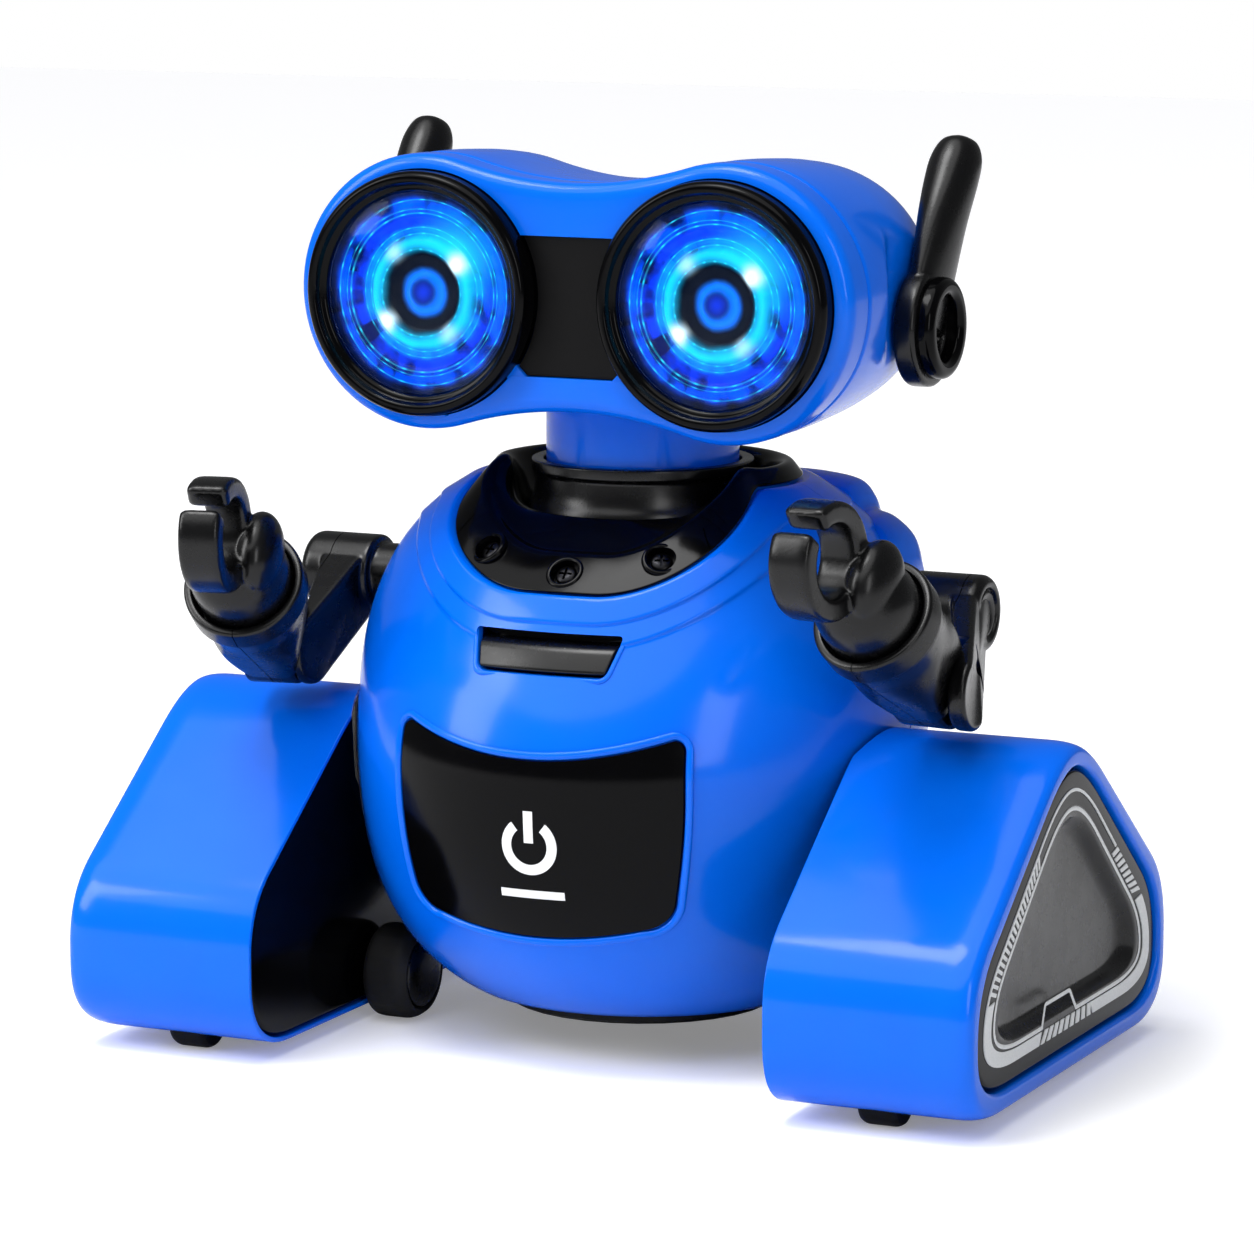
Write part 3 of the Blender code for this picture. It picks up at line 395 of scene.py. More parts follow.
def lit_dish():
    """The lit dish, drawn by radius and angle on its own map."""
    material, tree, shader = new_material("lamp_lit_polystyrene_dish")
    uv = add(tree, "ShaderNodeUVMap", uv_map="dish")
    split = add(tree, "ShaderNodeSeparateXYZ", {0: uv}).node.outputs
    x, y = (add(tree, MATH, {0: split[k], 1: 2.0, 2: -1.0}, operation="MULTIPLY_ADD") for k in (0, 1))
    x_square, y_square = (add(tree, MATH, {0: k, 1: k}, operation="MULTIPLY") for k in (x, y))
    square = add(tree, MATH, {0: x_square, 1: y_square}, operation="ADD")
    radius = add(tree, MATH, {0: square}, operation="SQRT")
    angle = add(tree, MATH, {0: y, 1: x}, operation="ARCTAN2")

    # coloured rings with slightly wandering edges
    wobble = add(tree, "ShaderNodeTexNoise", {"Vector": uv, "Scale": 9.0, "Detail": 2.0})
    centred = add(tree, MATH, {0: radius, 1: -0.025}, operation="ADD")
    soft = add(tree, MATH, {0: wobble, 1: 0.05, 2: centred}, operation="MULTIPLY_ADD")
    colour = linear("#01040F")
    for at, wide, tint in EYE_RINGS:
        fade = {0: off_ring(tree, soft, at), 1: wide * 1.5, 2: 0.0, 3: 0.0, 4: 1.0}
        share = add(tree, "ShaderNodeMapRange", fade, interpolation_type="SMOOTHSTEP")
        colour = add(tree, "ShaderNodeMix", {0: share, 6: colour, 7: linear(tint)}, out=2, data_type="RGBA")

    # the dish's moulded facets, 26 round and 12 deep, catch the light unevenly outside the bright ring
    around = add(tree, MATH, {0: angle, 1: 26 / (2 * np.pi)}, operation="MULTIPLY")
    deep = add(tree, MATH, {0: radius, 1: 12.0}, operation="MULTIPLY")
    column, row = (add(tree, MATH, {0: k}, operation="FLOOR") for k in (around, deep))
    cell = add(tree, "ShaderNodeCombineXYZ", {0: column, 1: row})
    facet = add(tree, "ShaderNodeTexWhiteNoise", {0: cell}, noise_dimensions="2D")
    patch = add(tree, "ShaderNodeTexNoise", {"Vector": uv, "Scale": 5.5, "Detail": 2.5, "Roughness": 0.6})
    patchy = add(tree, MATH, {0: patch, 1: 1.7}, operation="MULTIPLY")
    uneven = add(tree, MATH, {0: facet, 1: 0.22, 2: patchy}, operation="MULTIPLY_ADD")
    dim = add(tree, "ShaderNodeMapRange", {0: uneven, 1: 0.72, 2: 1.15, 3: 0.12, 4: 1.7})
    outer = add(tree, "ShaderNodeMapRange", {0: radius, 1: 0.5, 2: 0.62, 3: 0.0, 4: 1.0})
    shade = add(tree, "ShaderNodeMix", {0: outer, 2: 1.0, 3: dim})
    lit = add(tree, "ShaderNodeMix", {0: 1.0, 6: colour, 7: shade}, out=2, data_type="RGBA", blend_type="MULTIPLY")

    # one broad beam spreads outwards from the bright ring
    tall = add(tree, MATH, {0: peaks(tree, angle, 1.0, -0.75, 0.5, 0.5), 1: 14.0}, operation="POWER")
    beam_near = add(tree, "ShaderNodeMapRange", {0: radius, 1: 0.95, 2: 0.5, 3: 0.0, 4: 1.0})
    past_ring = add(tree, "ShaderNodeMapRange", {0: radius, 1: 0.42, 2: 0.5, 3: 0.0, 4: 1.0})
    beam = add(tree, MATH, {0: tall, 1: beam_near}, operation="MULTIPLY")
    beam = add(tree, MATH, {0: beam, 1: past_ring}, operation="MULTIPLY")

    # fine bright circles where the dish's steps catch the light, broken into sparks
    lines = 0.0
    for at, wide in THIN_RINGS:
        thin = add(tree, "ShaderNodeMapRange", {0: off_ring(tree, radius, at), 1: wide, 2: 0.0, 3: 0.0, 4: 0.5})
        lines = add(tree, MATH, {0: thin, 1: lines}, operation="ADD")
    spark = add(tree, MATH, {0: peaks(tree, angle, 24.0, 0.0, 0.5, 0.5), 1: 6.0}, operation="POWER")
    broken = add(tree, MATH, {0: patch, 1: 1.2}, operation="MULTIPLY")
    broken = add(tree, MATH, {0: spark, 1: 1.6, 2: broken}, operation="MULTIPLY_ADD")
    lines = add(tree, MATH, {0: lines, 1: broken}, operation="MULTIPLY")
    glow = add(tree, MATH, {0: beam, 1: 0.9, 2: lines}, operation="MULTIPLY_ADD")
    glow = add(tree, MATH, {0: glow, 1: 1.0}, operation="MINIMUM")
    lit = add(tree, "ShaderNodeMix", {0: glow, 6: lit, 7: linear("#22DCFF")}, out=2, data_type="RGBA")

    # four lamps on the bright ring, two of them stronger
    lobes = add(tree, MATH, {0: peaks(tree, angle, 4.0, -2.6, 0.5, 0.5), 1: 9.0}, operation="POWER")
    spot = add(tree, MATH, {0: lobes, 1: peaks(tree, angle, 2.0, -1.3, 0.6, 0.35)}, operation="MULTIPLY")
    fade = {0: off_ring(tree, radius, 0.48), 1: 0.13, 2: 0.0, 3: 0.0, 4: 1.0}
    on_ring = add(tree, "ShaderNodeMapRange", fade, interpolation_type="SMOOTHSTEP")
    spot = add(tree, MATH, {0: spot, 1: on_ring}, operation="MULTIPLY")
    strong = add(tree, MATH, {0: patch, 1: 3.4}, operation="MULTIPLY")
    hot = add(tree, MATH, {0: spot, 1: strong}, operation="MULTIPLY")
    hot = add(tree, MATH, {0: hot, 1: 1.0}, operation="MINIMUM")
    lit = add(tree, "ShaderNodeMix", {0: hot, 6: lit, 7: linear("#E8FDFF")}, out=2, data_type="RGBA")
    shader.inputs["Base Color"].default_value = linear("#020714")
    shader.inputs["Roughness"].default_value = 0.35
    shader.inputs["Specular IOR Level"].default_value = 0.1
    tree.links.new(lit, shader.inputs["Emission Color"])
    shader.inputs["Emission Strength"].default_value = 1.5
    return material


lit_blue = lit_dish()

# %% [markdown]
# The lens over it is clear moulded polystyrene, polished, with faint flow lines. Real polystyrene has an IOR of
# 1.59. Here it is 1.12, so that the thick lens stays clear and the dish behind it isn't shifted.

# %% Clear lens
lens_clear, tree, shader = new_material("moulded_polystyrene_clear")
flow = add(tree, "ShaderNodeTexNoise", {"Vector": add(tree, "ShaderNodeTexCoord", out=3), "Scale": 1 / (5 * MM)})
tree.links.new(add(tree, "ShaderNodeBump", {"Strength": 1.0, "Distance": 0.02 * MM, "Height": flow}),
               shader.inputs["Normal"])
tint = {0: flow, 6: linear("#F2F8FF"), 7: linear("#E4F1FF")}
tree.links.new(add(tree, "ShaderNodeMix", tint, out=2, data_type="RGBA"), shader.inputs["Base Color"])
shader.inputs["Roughness"].default_value = 0.02
shader.inputs["IOR"].default_value = 1.12
shader.inputs["Specular IOR Level"].default_value = 0.25
shader.inputs["Transmission Weight"].default_value = 1.0

# %% [markdown]
# ## The egg-shaped body
# Two moulded half shells meet at the sides. The half width is a superellipse of height, and the chest leans
# back towards the neck. A raised double band runs under the neck opening.

# %% Body surface
BELLY_Z, BELLY_HALF_WIDTH = 70.0, 57.0
BODY_RISE, BODY_DROP, BODY_FLOOR_Z = 48.0, 66.0, 10.0
WALL = 2.0
SHOULDER_Z, STRUT_Z = 88.4, 28.6


def body_half_width(z):
    """57 (1 - rise^2.4)^(1/2.2) above the belly and 57 (1 - drop^3.2)^(1/2.6) below it."""
    z = np.asarray(z, float)
    rise = np.clip((z - BELLY_Z) / BODY_RISE, 0, 1)
    drop = np.clip((BELLY_Z - z) / BODY_DROP, 0, 1)
    return BELLY_HALF_WIDTH * np.where(z >= BELLY_Z, (1 - rise**2.4) ** (1 / 2.2), (1 - drop**3.2) ** (1 / 2.6))


def depth_ratio(z, front):
    """Depth over half width: 0.93 at the back, and 0.96 falling to 0.745 by a smooth step at the front."""
    return np.where(front, 0.96 - 0.215 * smooth(z, 58, 98), 0.93)


def body_point(angle, z, out=0.0):
    """A point of the egg: (w + out) sin a across, (w ratio + out) cos a ahead, with w the half width at z."""
    w = body_half_width(z)
    depth = w * depth_ratio(z, np.cos(angle) > 0) + out
    return np.stack([(w + out) * np.sin(angle), -depth * np.cos(angle), z + 0 * angle], -1)


def body_front(x, z, out=0.0):
    """The egg's front at x and z, moved out along Y."""
    w = body_half_width(z)
    return np.stack([x, -w * depth_ratio(z, True) * np.sqrt(1 - (x / w) ** 2) - out, z], -1)


def neckline_z(angle):
    """Height of the rim: 93 at the front, rising by a smooth step to 111.5 round the sides and back."""
    off_front = np.abs(np.arctan2(np.sin(angle), np.cos(angle)))
    return 93.0 + 18.5 * smooth(off_front, 0.14, 1.19)


def body_half(start, end, columns=150, rows=96):
    """Rows follow the rim's rounded steps, then the egg down to its floor. Columns go round."""
    angle = np.linspace(start, end, columns)[None, :]
    steps = rounded([(0.25, -1.7), (-0.2, 1.25), (4.5, 1.25), (5.1, 0.6), (8.8, 0.6), (9.6, 0.0), (13.0, 0.0)],
                    (0, 0.9, 0.55, 0.3, 0.5, 0.5, 0), 6)
    top = neckline_z(angle)
    near_z, near_out = top - steps[:, :1], steps[:, 1:] + 0 * top
    share = np.linspace(0, 1, rows)[1:, None]
    low = top - 13.0
    far_z = low + (BODY_FLOOR_Z - low) * share
    z = np.concatenate([near_z, far_z])
    out = np.concatenate([near_out, 0 * far_z])
    angle = angle + 0 * z
    return plate(body_point(angle, z, out), body_point(angle, z, 0 * out - WALL))


SEAM = 0.0035
front_shell = new_object("front_body", body_half(SEAM - np.pi / 2, np.pi / 2 - SEAM))
rear_shell = new_object("rear_body", body_half(np.pi / 2 + SEAM, 3 * np.pi / 2 - SEAM))
print(f"body {2 * BELLY_HALF_WIDTH:.0f} mm wide, walls {WALL} mm")
shoulder_hole = rod((-70, 0, SHOULDER_Z), (70, 0, SHOULDER_Z), 6.3)
strut_hole = rod((-70, 0, STRUT_Z), (70, 0, STRUT_Z), 3.7)

# %% [markdown]
# The chest panel is a gloss black inlay. Its outline is drawn in two parameters: u runs across, v runs up,
# the top and bottom edges sag with u squared, and the four corners are rounded by quarter circles.

# %% Chest panel and its pocket
def chest_outline(margin, out, columns=64, rows=64):
    """x is u times the half width at v; z runs from the sagging bottom edge to the top one; y is the egg's."""
    u = np.linspace(-1, 1, columns)[None, :]
    v = (0.5 - 0.5 * np.cos(np.pi * np.linspace(0, 1, rows)))[:, None]
    height = 35.0 + 2 * margin
    near = np.minimum(v, 1 - v) * height
    corner = np.where(v > 0.5, 2.0, 5.0) + margin
    cut = corner - np.sqrt(np.maximum(corner**2 - np.maximum(corner - near, 0) ** 2, 0))
    half = 29.5 + margin - 3.2 * (1 - v) ** 2 + 0.8 * np.sin(np.pi * v) - cut
    low, high = 28.5 - margin + 2.5 * u**2, 63.5 + margin + 4.5 * u**2
    z = low + (high - low) * v
    return body_front(half * u, z, out)


def rim_of(grid):
    """The border points of a grid, in order."""
    return np.concatenate([grid[0, :-1], grid[:-1, -1], grid[-1, :0:-1], grid[:0:-1, 0]])


def bead(path, outward, width, height, sides=12):
    """An oval bead: each path point gets a ring (width cos a) across and (height sin a) outwards."""
    ahead = np.roll(path, -1, 0) - np.roll(path, 1, 0)
    ahead /= np.linalg.norm(ahead, axis=1, keepdims=True) + 1e-9
    across = np.cross(ahead, outward)
    across /= np.linalg.norm(across, axis=1, keepdims=True) + 1e-9
    a = np.linspace(0, 2 * np.pi, sides, endpoint=False)[None, :, None]
    rings = path[:, None] + width * np.cos(a) * across[:, None] + height * np.sin(a) * outward
    return rings.reshape(-1, 3), grid_faces(len(path), sides, wrap_rows=True)


def vent_outline(margin, y):
    """The chest slot: a trapezium, wider at its top, with rounded corners."""
    top, bottom, half_top, half_bottom = 86.2 + margin, 79.0 - margin, 15.3 + margin, 13.0 + margin
    corners = [(-half_top, top), (half_top, top), (half_bottom, bottom), (-half_bottom, bottom)]
    flat = rounded(corners, (1.2, 1.2, 1.6, 1.6), 7, closed=True)
    return np.stack([flat[:, 0], np.full(len(flat), y), flat[:, 1]], -1)


panel_pocket = plate(chest_outline(0.3, 3.0), chest_outline(0.3, -1.3))
vent_hole = tube([vent_outline(0.3, -60.0), vent_outline(0.3, -30.0)])
carve(front_shell, shoulder_hole, strut_hole, panel_pocket, vent_hole)
switch_hole = tube([np.stack([np.array([-5, 5, 5, -5.0]), np.full(4, y), np.array([39.5, 39.5, 44.5, 44.5])], -1)
                    for y in (40.0, 60.0)])
carve(rear_shell, shoulder_hole, strut_hole, switch_hole)
finish_piece(front_shell, blue_gloss, "body", "blue_plastic", "front_body_shell")
finish_piece(rear_shell, blue_gloss, "body", "blue_plastic", "rear_body_shell")

panel = new_object("chest_inlay", plate(chest_outline(-0.15, -0.1), chest_outline(-0.15, -0.95)))
finish_piece(panel, black_gloss, "body", "gloss_black", "chest_panel", bevel=0.25)
facing = np.array([0, -1.0, 0])
lip = bead(rim_of(chest_outline(0.95, 0.05)), facing, 0.75, 0.5, 16)
finish_piece(new_object("chest_lip", lip), blue_gloss, "body", "blue_plastic")

# %% [markdown]
# A white power sign, an open ring with a bar, is pad printed in the middle of the panel. It is a thin raised
# film of ink that follows the egg.

# %% Printed sign
def ink(x, z):
    """A film 0.12 mm thick between two grids laid on the panel."""
    return plate(body_front(x, z, 0.04), body_front(x, z, -0.08))


SIGN_X, SIGN_Z = 1.0, 47.0
turn = np.radians(np.linspace(128, 412, 72))[:, None]
ring_r = np.linspace(3.7, 5.7, 5)[None, :]
bar_u, bar_v = np.meshgrid(np.linspace(-0.95, 0.95, 4), np.linspace(0.6, 6.8, 9))
foot_u, foot_v = np.meshgrid(np.linspace(-6.6, 6.6, 14), np.linspace(-10.4, -8.8, 4))
sign = joined(ink(SIGN_X + ring_r * np.cos(turn), SIGN_Z + ring_r * np.sin(turn)),
              ink(SIGN_X + bar_u, SIGN_Z + bar_v), ink(SIGN_X + foot_u, SIGN_Z + foot_v))
finish_piece(new_object("chest_sign", sign), white_ink, "body", "screw_steel")

# %% [markdown]
# The slot under the neck holds a black insert: a recessed back plate, and a satin bar with a rounded top that
# follows the chest.

# %% Slot insert
back = tube([vent_outline(-0.1, -33.2), vent_outline(-0.1, -39.2), vent_outline(-0.5, -39.4)])
finish_piece(new_object("slot_back", back), black_gloss, "body", "satin_black", "chest_vent")
section = rounded([(0.4, 79.3), (0.4, 83.9), (-1.4, 84.6), (-4.0, 84.6), (-4.0, 79.3)], (0.9, 1.0, 0.6, 0.2, 0.2), 6,
                  closed=True)
along_x = np.linspace(-1, 1, 40)[:, None]
reach = (13.1 + (section[None, :, 1] - 79.3) * 0.26) * along_x
bar_points = body_front(reach, section[None, :, 1] + 0 * reach, section[None, :, 0] - 0.35)
finish_piece(new_object("slot_bar", tube(bar_points)), black_satin, "body", "satin_black", bevel=0.3)
vent_path = vent_outline(0.75, 0)
vent_path = body_front(vent_path[:, 0], vent_path[:, 2], 0.02)
finish_piece(new_object("slot_lip", bead(vent_path, facing, 0.5, 0.4)), blue_gloss, "body", "blue_plastic")

# %% [markdown]
# ## Cowl, collar and neck
# A black cowl fills the gap between the egg's rim and the collar. Its section is a closed outline that is
# carried round the neck, so edge, ledge and mouth are each a function of the angle.

# %% Cowl
COLLAR_FOOT = 22.6


def cowl_edge(angle):
    """The egg's rim, 0.4 up and 0.1 out."""
    return body_point(angle, neckline_z(angle) + 0.4, 0.1)


def cowl_ledge(angle):
    """The ridge: 0.82 of the edge's reach and 7 above it at the front, 0.92 and 3.2 at the sides and back."""
    edge = cowl_edge(angle)
    aside = smooth(np.abs(np.arctan2(np.sin(angle), np.cos(angle))), 0.45, 1.35)[..., None]
    reach = np.concatenate([0.82 + 0.1 * aside, 0.82 + 0.1 * aside, 1 + 0 * aside], -1)
    return edge * reach + (7.0 - 3.8 * aside) * UP


turn = np.linspace(0, 2 * np.pi, 220, endpoint=False)
inward = np.stack([-np.sin(turn), np.cos(turn), 0 * turn], 1)
edge, ledge = cowl_edge(turn), cowl_ledge(turn)
mouth = (COLLAR_FOOT + 0.2) * np.stack([np.sin(turn), -np.cos(turn), 0 * turn], 1) + (0, 0, 106.0)
valley = 0.35 * ledge + 0.65 * mouth - (0, 0, 0.6)
cowl_corners = [edge, ledge, ledge + inward * 2.2 - (0, 0, 0.6), valley, mouth - inward * 0.6, mouth - (0, 0, 2.0),
                ledge * (0.94, 0.94, 1) - (0, 0, 2.6), edge + inward * 3.4 + (0, 0, 0.1)]
cowl_section = rounded(np.array(cowl_corners), (0.5, 1.3, 1.3, 2.4, 0.6, 0.3, 0.6, 0.3), 6, closed=True)
cowl = new_object("neck_cowl", tube(cowl_section.transpose(1, 0, 2)[:, ::-1], loop=True))
for name, a in (("left", -0.41), ("mid", 0.0), ("right", 0.41)):
    low, high = cowl_edge(np.array(a)), cowl_ledge(np.array(a))
    outward = np.cross((np.cos(a), np.sin(a), 0), high - low)
    outward = outward / np.linalg.norm(outward)
    middle = low + 0.5 * (high - low)
    carve(cowl, turned([(0, -1.6), (2.6, -1.6), (3.1, 3), (0, 3)], outward, middle, 48, up=UP))
    rim = rounded([(2.75, -0.6), (2.75, 0.35), (3.7, 0.35), (3.9, -0.6)], (0.2, 0.4, 0.5, 0.2), 6, closed=True)
    ring = new_object(f"screw_well_rim_{name}", turned(rim, outward, middle, 64, loop=True, up=UP))
    finish_piece(ring, black_gloss, "body", "gloss_black")
    head = rounded([(0, -1.5), (2.1, -1.5), (2.1, -0.75), (1.2, -0.35), (0, -0.35)], (0, 0.1, 0.4, 0.5, 0), 5)
    screw = new_object(f"cowl_screw_head_{name}", turned(head, outward, middle, 40, up=UP))
    u, v, _ = axes(outward)
    for along, aside in ((u, v), (v, u)):
        flat = [along * i * 1.35 + aside * j * 0.26 for i, j in ((-1, -1), (1, -1), (1, 1), (-1, 1))]
        carve(screw, tube([middle + np.array(flat) + outward * h for h in (-1.1, 0.4)]))
    finish_piece(screw, steel, "body", "screw_steel", f"cowl_screw_{name}")
for a in (-0.62, 0.62):
    across = np.array([np.cos(a), np.sin(a), 0])
    low, high = cowl_edge(np.array(a)), cowl_ledge(np.array(a))
    out = np.cross(across, high - low)
    out = out / np.linalg.norm(out)
    up_slope = (high - low) / np.linalg.norm(high - low)
    slab = [low + up_slope * s + across * w for s, w in ((-0.5, -0.14), (5.6, -0.14), (5.6, 0.14), (-0.5, 0.14))]
    carve(cowl, tube([np.array(slab) + out * h for h in (-0.5, 1.5)]))
finish_piece(cowl, black_gloss, "body", "gloss_black", "shoulder_cowl")

# %% [markdown]
# The collar and the neck are turned shapes: a profile of radius and height carried round the neck's axis,
# with its corners rounded.

# %% Collar and neck tube
collar_profile = rounded([(19.5, 98), (22.6, 98), (22.6, 105.6), (21.4, 108.2), (21.0, 112.2), (21.9, 112.9),
                          (21.9, 115.0), (19.5, 115.0)], (0.3, 0.4, 1.2, 1.6, 0.5, 0.35, 0.5, 0.4), 7, closed=True)
collar = new_object("collar", turned(collar_profile, sides=160, loop=True))
finish_piece(collar, black_satin, "body", "gloss_black", "neck_collar")
tube_profile = rounded([(16.5, 99.5), (19, 99.5), (19, 131), (16.5, 131)], 0.3, 5, closed=True)
finish_piece(new_object("neck", turned(tube_profile, sides=160, loop=True)), blue_gloss, "head", "blue_plastic",
             "neck_tube")

# %% [markdown]
# Two stepped shoulder blocks stand up behind the cowl. Each is a run of ovals along X with a smooth curve
# through their sizes.

# %% Shoulder blocks
for side, sign in SIDES.items():
    rows = [(17, 32, 109.4, 7.0), (18.5, 31.5, 110.0, 8), (26, 29.5, 110.0, 8.6), (33.5, 27, 109.2, 9),
            (36.6, 25.5, 107.0, 8.8), (38.2, 24, 104.4, 8.5), (40, 22, 103.9, 8.6), (44, 19, 103.3, 9),
            (48.5, 16.5, 100.5, 8.7), (50.8, 15, 95.5, 7.4)]
    x, y, top, half = through(rows, 60).T[:, :, None]
    a = np.linspace(0, 2 * np.pi, 72, endpoint=False)[None, :]
    lift = np.sign(np.sin(a)) * np.abs(np.sin(a)) ** 0.6
    wide = np.sign(np.cos(a)) * np.abs(np.cos(a)) ** 0.8
    rings = np.stack([sign * x + 0 * a, y + half * wide, (84 + top) / 2 + (top - 84) / 2 * lift], -1)
    block = carve(new_object(f"shoulder_block_{side}", tube(rings)),
                  rod((sign * 30, 0, SHOULDER_Z), (sign * 70, 0, SHOULDER_Z), 9.2))
    finish_piece(block, blue_gloss, "body", "blue_plastic", crease=50)

# %% [markdown]
# ## Head
# The head's outline is two round lobes joined by hollow waist arcs. Moving all its arcs in by one distance
# gives each ring of the front frame and of the rear shell.

# %% Head outline
EYE_X, EYE_Z = 30.8, 149.0
LOBE_X, LOBE_RADIUS, WAIST = 31.4, 26.6, 21.9
FACE_Y, FACE_SEAM_Y = -34.0, -27.5
BEZEL_RADIUS, LENS_RADIUS = 23.6, 19.6
EAR_X, EAR_Y, EAR_Z = 55.0, 4.6, 142.5


def peanut(inset, y, arc=64):
    """Lobe arcs of radius R - inset and waist arcs of radius r + inset, about the same centres."""
    rise = (LOBE_X**2 + WAIST**2 - LOBE_RADIUS**2) / (2 * (LOBE_RADIUS - WAIST))
    centre_z = WAIST + rise
    tangent = np.arctan2(centre_z, LOBE_X)
    lobe, waist = LOBE_RADIUS - inset, rise + inset
    a = np.linspace(tangent - np.pi, np.pi - tangent, arc)
    right = np.stack([LOBE_X + lobe * np.cos(a), lobe * np.sin(a)], 1)
    b = np.linspace(tangent - np.pi / 2, np.pi / 2 - tangent, arc // 2)[1:-1]
    top = np.stack([-waist * np.sin(b), centre_z - waist * np.cos(b)], 1)
    ring = np.concatenate([right, top, -right, -top])
    return np.stack([ring[:, 0], np.full(len(ring), y), EYE_Z + ring[:, 1]], 1)


def head_stack(profile, side_limit=None):
    """Rings of the outline for (inset, y) pairs. The sides flatten smoothly to a limit behind y = -10."""
    rings = np.stack([peanut(inset, y) for inset, y in profile])
    if side_limit:
        limit = 60 - (60 - side_limit) * smooth(profile[:, 1], -22, -6)[:, None]
        rings[..., 0] = np.clip(rings[..., 0], -limit, limit)
    return rings


def bridge(y_front, y_back, margin, radius):
    """The plate between the eyes. Its sides are arcs round each eye's middle."""
    z = np.linspace(134 - margin, 160.6 + margin, 40)
    x = EYE_X - np.sqrt(radius**2 - (z - EYE_Z) ** 2)
    outline = np.concatenate([np.stack([x, z], 1), np.stack([-x, z], 1)[::-1]])
    return tube([np.stack([outline[:, 0], np.full(80, y), outline[:, 1]], -1) for y in (y_front, y_back)])


front_profile = rounded([(9.0, FACE_Y), (0, FACE_Y), (0, FACE_SEAM_Y - 0.3)], (0, 3.4, 0), 12)
front_profile = np.concatenate([front_profile, [(0.5, FACE_SEAM_Y - 0.3)]])
face = new_object("face_frame_front", tube(head_stack(front_profile)))
hollow = tube([peanut(2.0, FACE_Y + 3.0), peanut(2.0, FACE_SEAM_Y + 5)])
eye_holes = [rod((s * EYE_X, FACE_Y - 5, EYE_Z), (s * EYE_X, FACE_SEAM_Y, EYE_Z), BEZEL_RADIUS + 0.25, 160)
             for s in SIDES.values()]
carve(face, hollow, *eye_holes, bridge(FACE_Y - 3, FACE_Y + 8, 0.2, BEZEL_RADIUS - 2))
finish_piece(face, blue_gloss, "head", "blue_plastic", "face_frame", crease=32)
bridge_piece = new_object("eye_bridge", bridge(FACE_Y + 0.9, FACE_Y + 2.6, 0, BEZEL_RADIUS + 0.4))
finish_piece(bridge_piece, dark_matte, "head", "satin_black", "face_bridge", crease=25)
for side, sign in SIDES.items():
    corner = rounded([(sign * 13.4, 133.2), (sign * 8.4, 133.2), (sign * 11.6, 136.4), (sign * 13.4, 137.4)], 0.6, 6,
                     closed=True)
    wedge = tube([np.stack([corner[:, 0], np.full(len(corner), y), corner[:, 1]], -1)
                  for y in (FACE_Y + 0.1, FACE_Y + 2.4)])
    finish_piece(new_object(f"bridge_corner_{side}", wedge), blue_gloss, "head", "blue_plastic", bevel=0.3)

rear_profile = through([(0.25, FACE_SEAM_Y), (0.2, -24.5), (0.2, -18), (0.6, -9), (1.4, 2), (3.0, 13), (6.2, 22),
                        (10.6, 29), (13.4, 31.4)], 110)
groove = 0.55 * np.exp(-((rear_profile[:, 1] + 24.4) / 0.45) ** 2)
rear_profile[:, 0] += groove
rings = head_stack(rear_profile, EAR_X - 0.8)
q = np.linspace(0, np.pi / 2, 14)[1:-1, None]
dome = np.array([0, 0, EYE_Z]) + (rings[-1] - (0, 31.4, EYE_Z)) * np.cos(q)[:, :, None] * (1, 0, 1)
dome = dome + (0, 31.4, 0) + (2.7 * np.sin(q))[:, :, None] * (0, 1, 0)
rear = new_object("head_shell_back", tube(np.concatenate([rings, dome])))
inner = head_stack(np.array([(2.4, FACE_SEAM_Y - 3), (2.4, -18), (2.8, -9), (3.6, 2), (5.2, 12), (8.4, 20.5),
                             (16, 30)]), EAR_X - 3)
carve(rear, tube(inner), rod((0, 0, 110), (0, 0, 135), 19.3, 96), rod((-70, EAR_Y, EAR_Z), (70, EAR_Y, EAR_Z), 3.3))
finish_piece(rear, blue_gloss, "head", "blue_plastic", "head_rear_shell")

# %% [markdown]
# ## Eyes
# Bezel, lens and lit dish are turned shapes on one axis. The dish has moulded steps, and its map is its own
# front view, so the light pattern turns with the head.

# %% Eyes
bezel_profile = rounded([(19.7, -29.0), (19.7, -36.2), (20.2, -36.7), (20.9, -36.9), (21.5, -38.3), (22.8, -38.3),
                         (23.6, -37.1), (23.6, -28), (20.6, -28)], (0.2, 0.4, 0.3, 0.3, 0.5, 0.6, 0.8, 0.3, 0.2), 6,
                        closed=True)
lens_profile = through([(0, -38.6), (5, -38.45), (10.5, -37.9), (15.5, -37.0), (19.5, -35.9)], 30)
lens_back = np.stack([lens_profile[::-1, 0], lens_profile[::-1, 1] + 1.0], 1)
dish_steps = rounded([(0, -34.0), (2.8, -34.0), (3.6, -33.0), (7.2, -33.4), (8.3, -34.9), (10.2, -34.9), (11.1, -33.6),
                      (14.6, -33.9), (15.4, -34.6), (16.3, -34.6), (17.2, -33.9), (19.5, -34.7)], 0.3, 5)
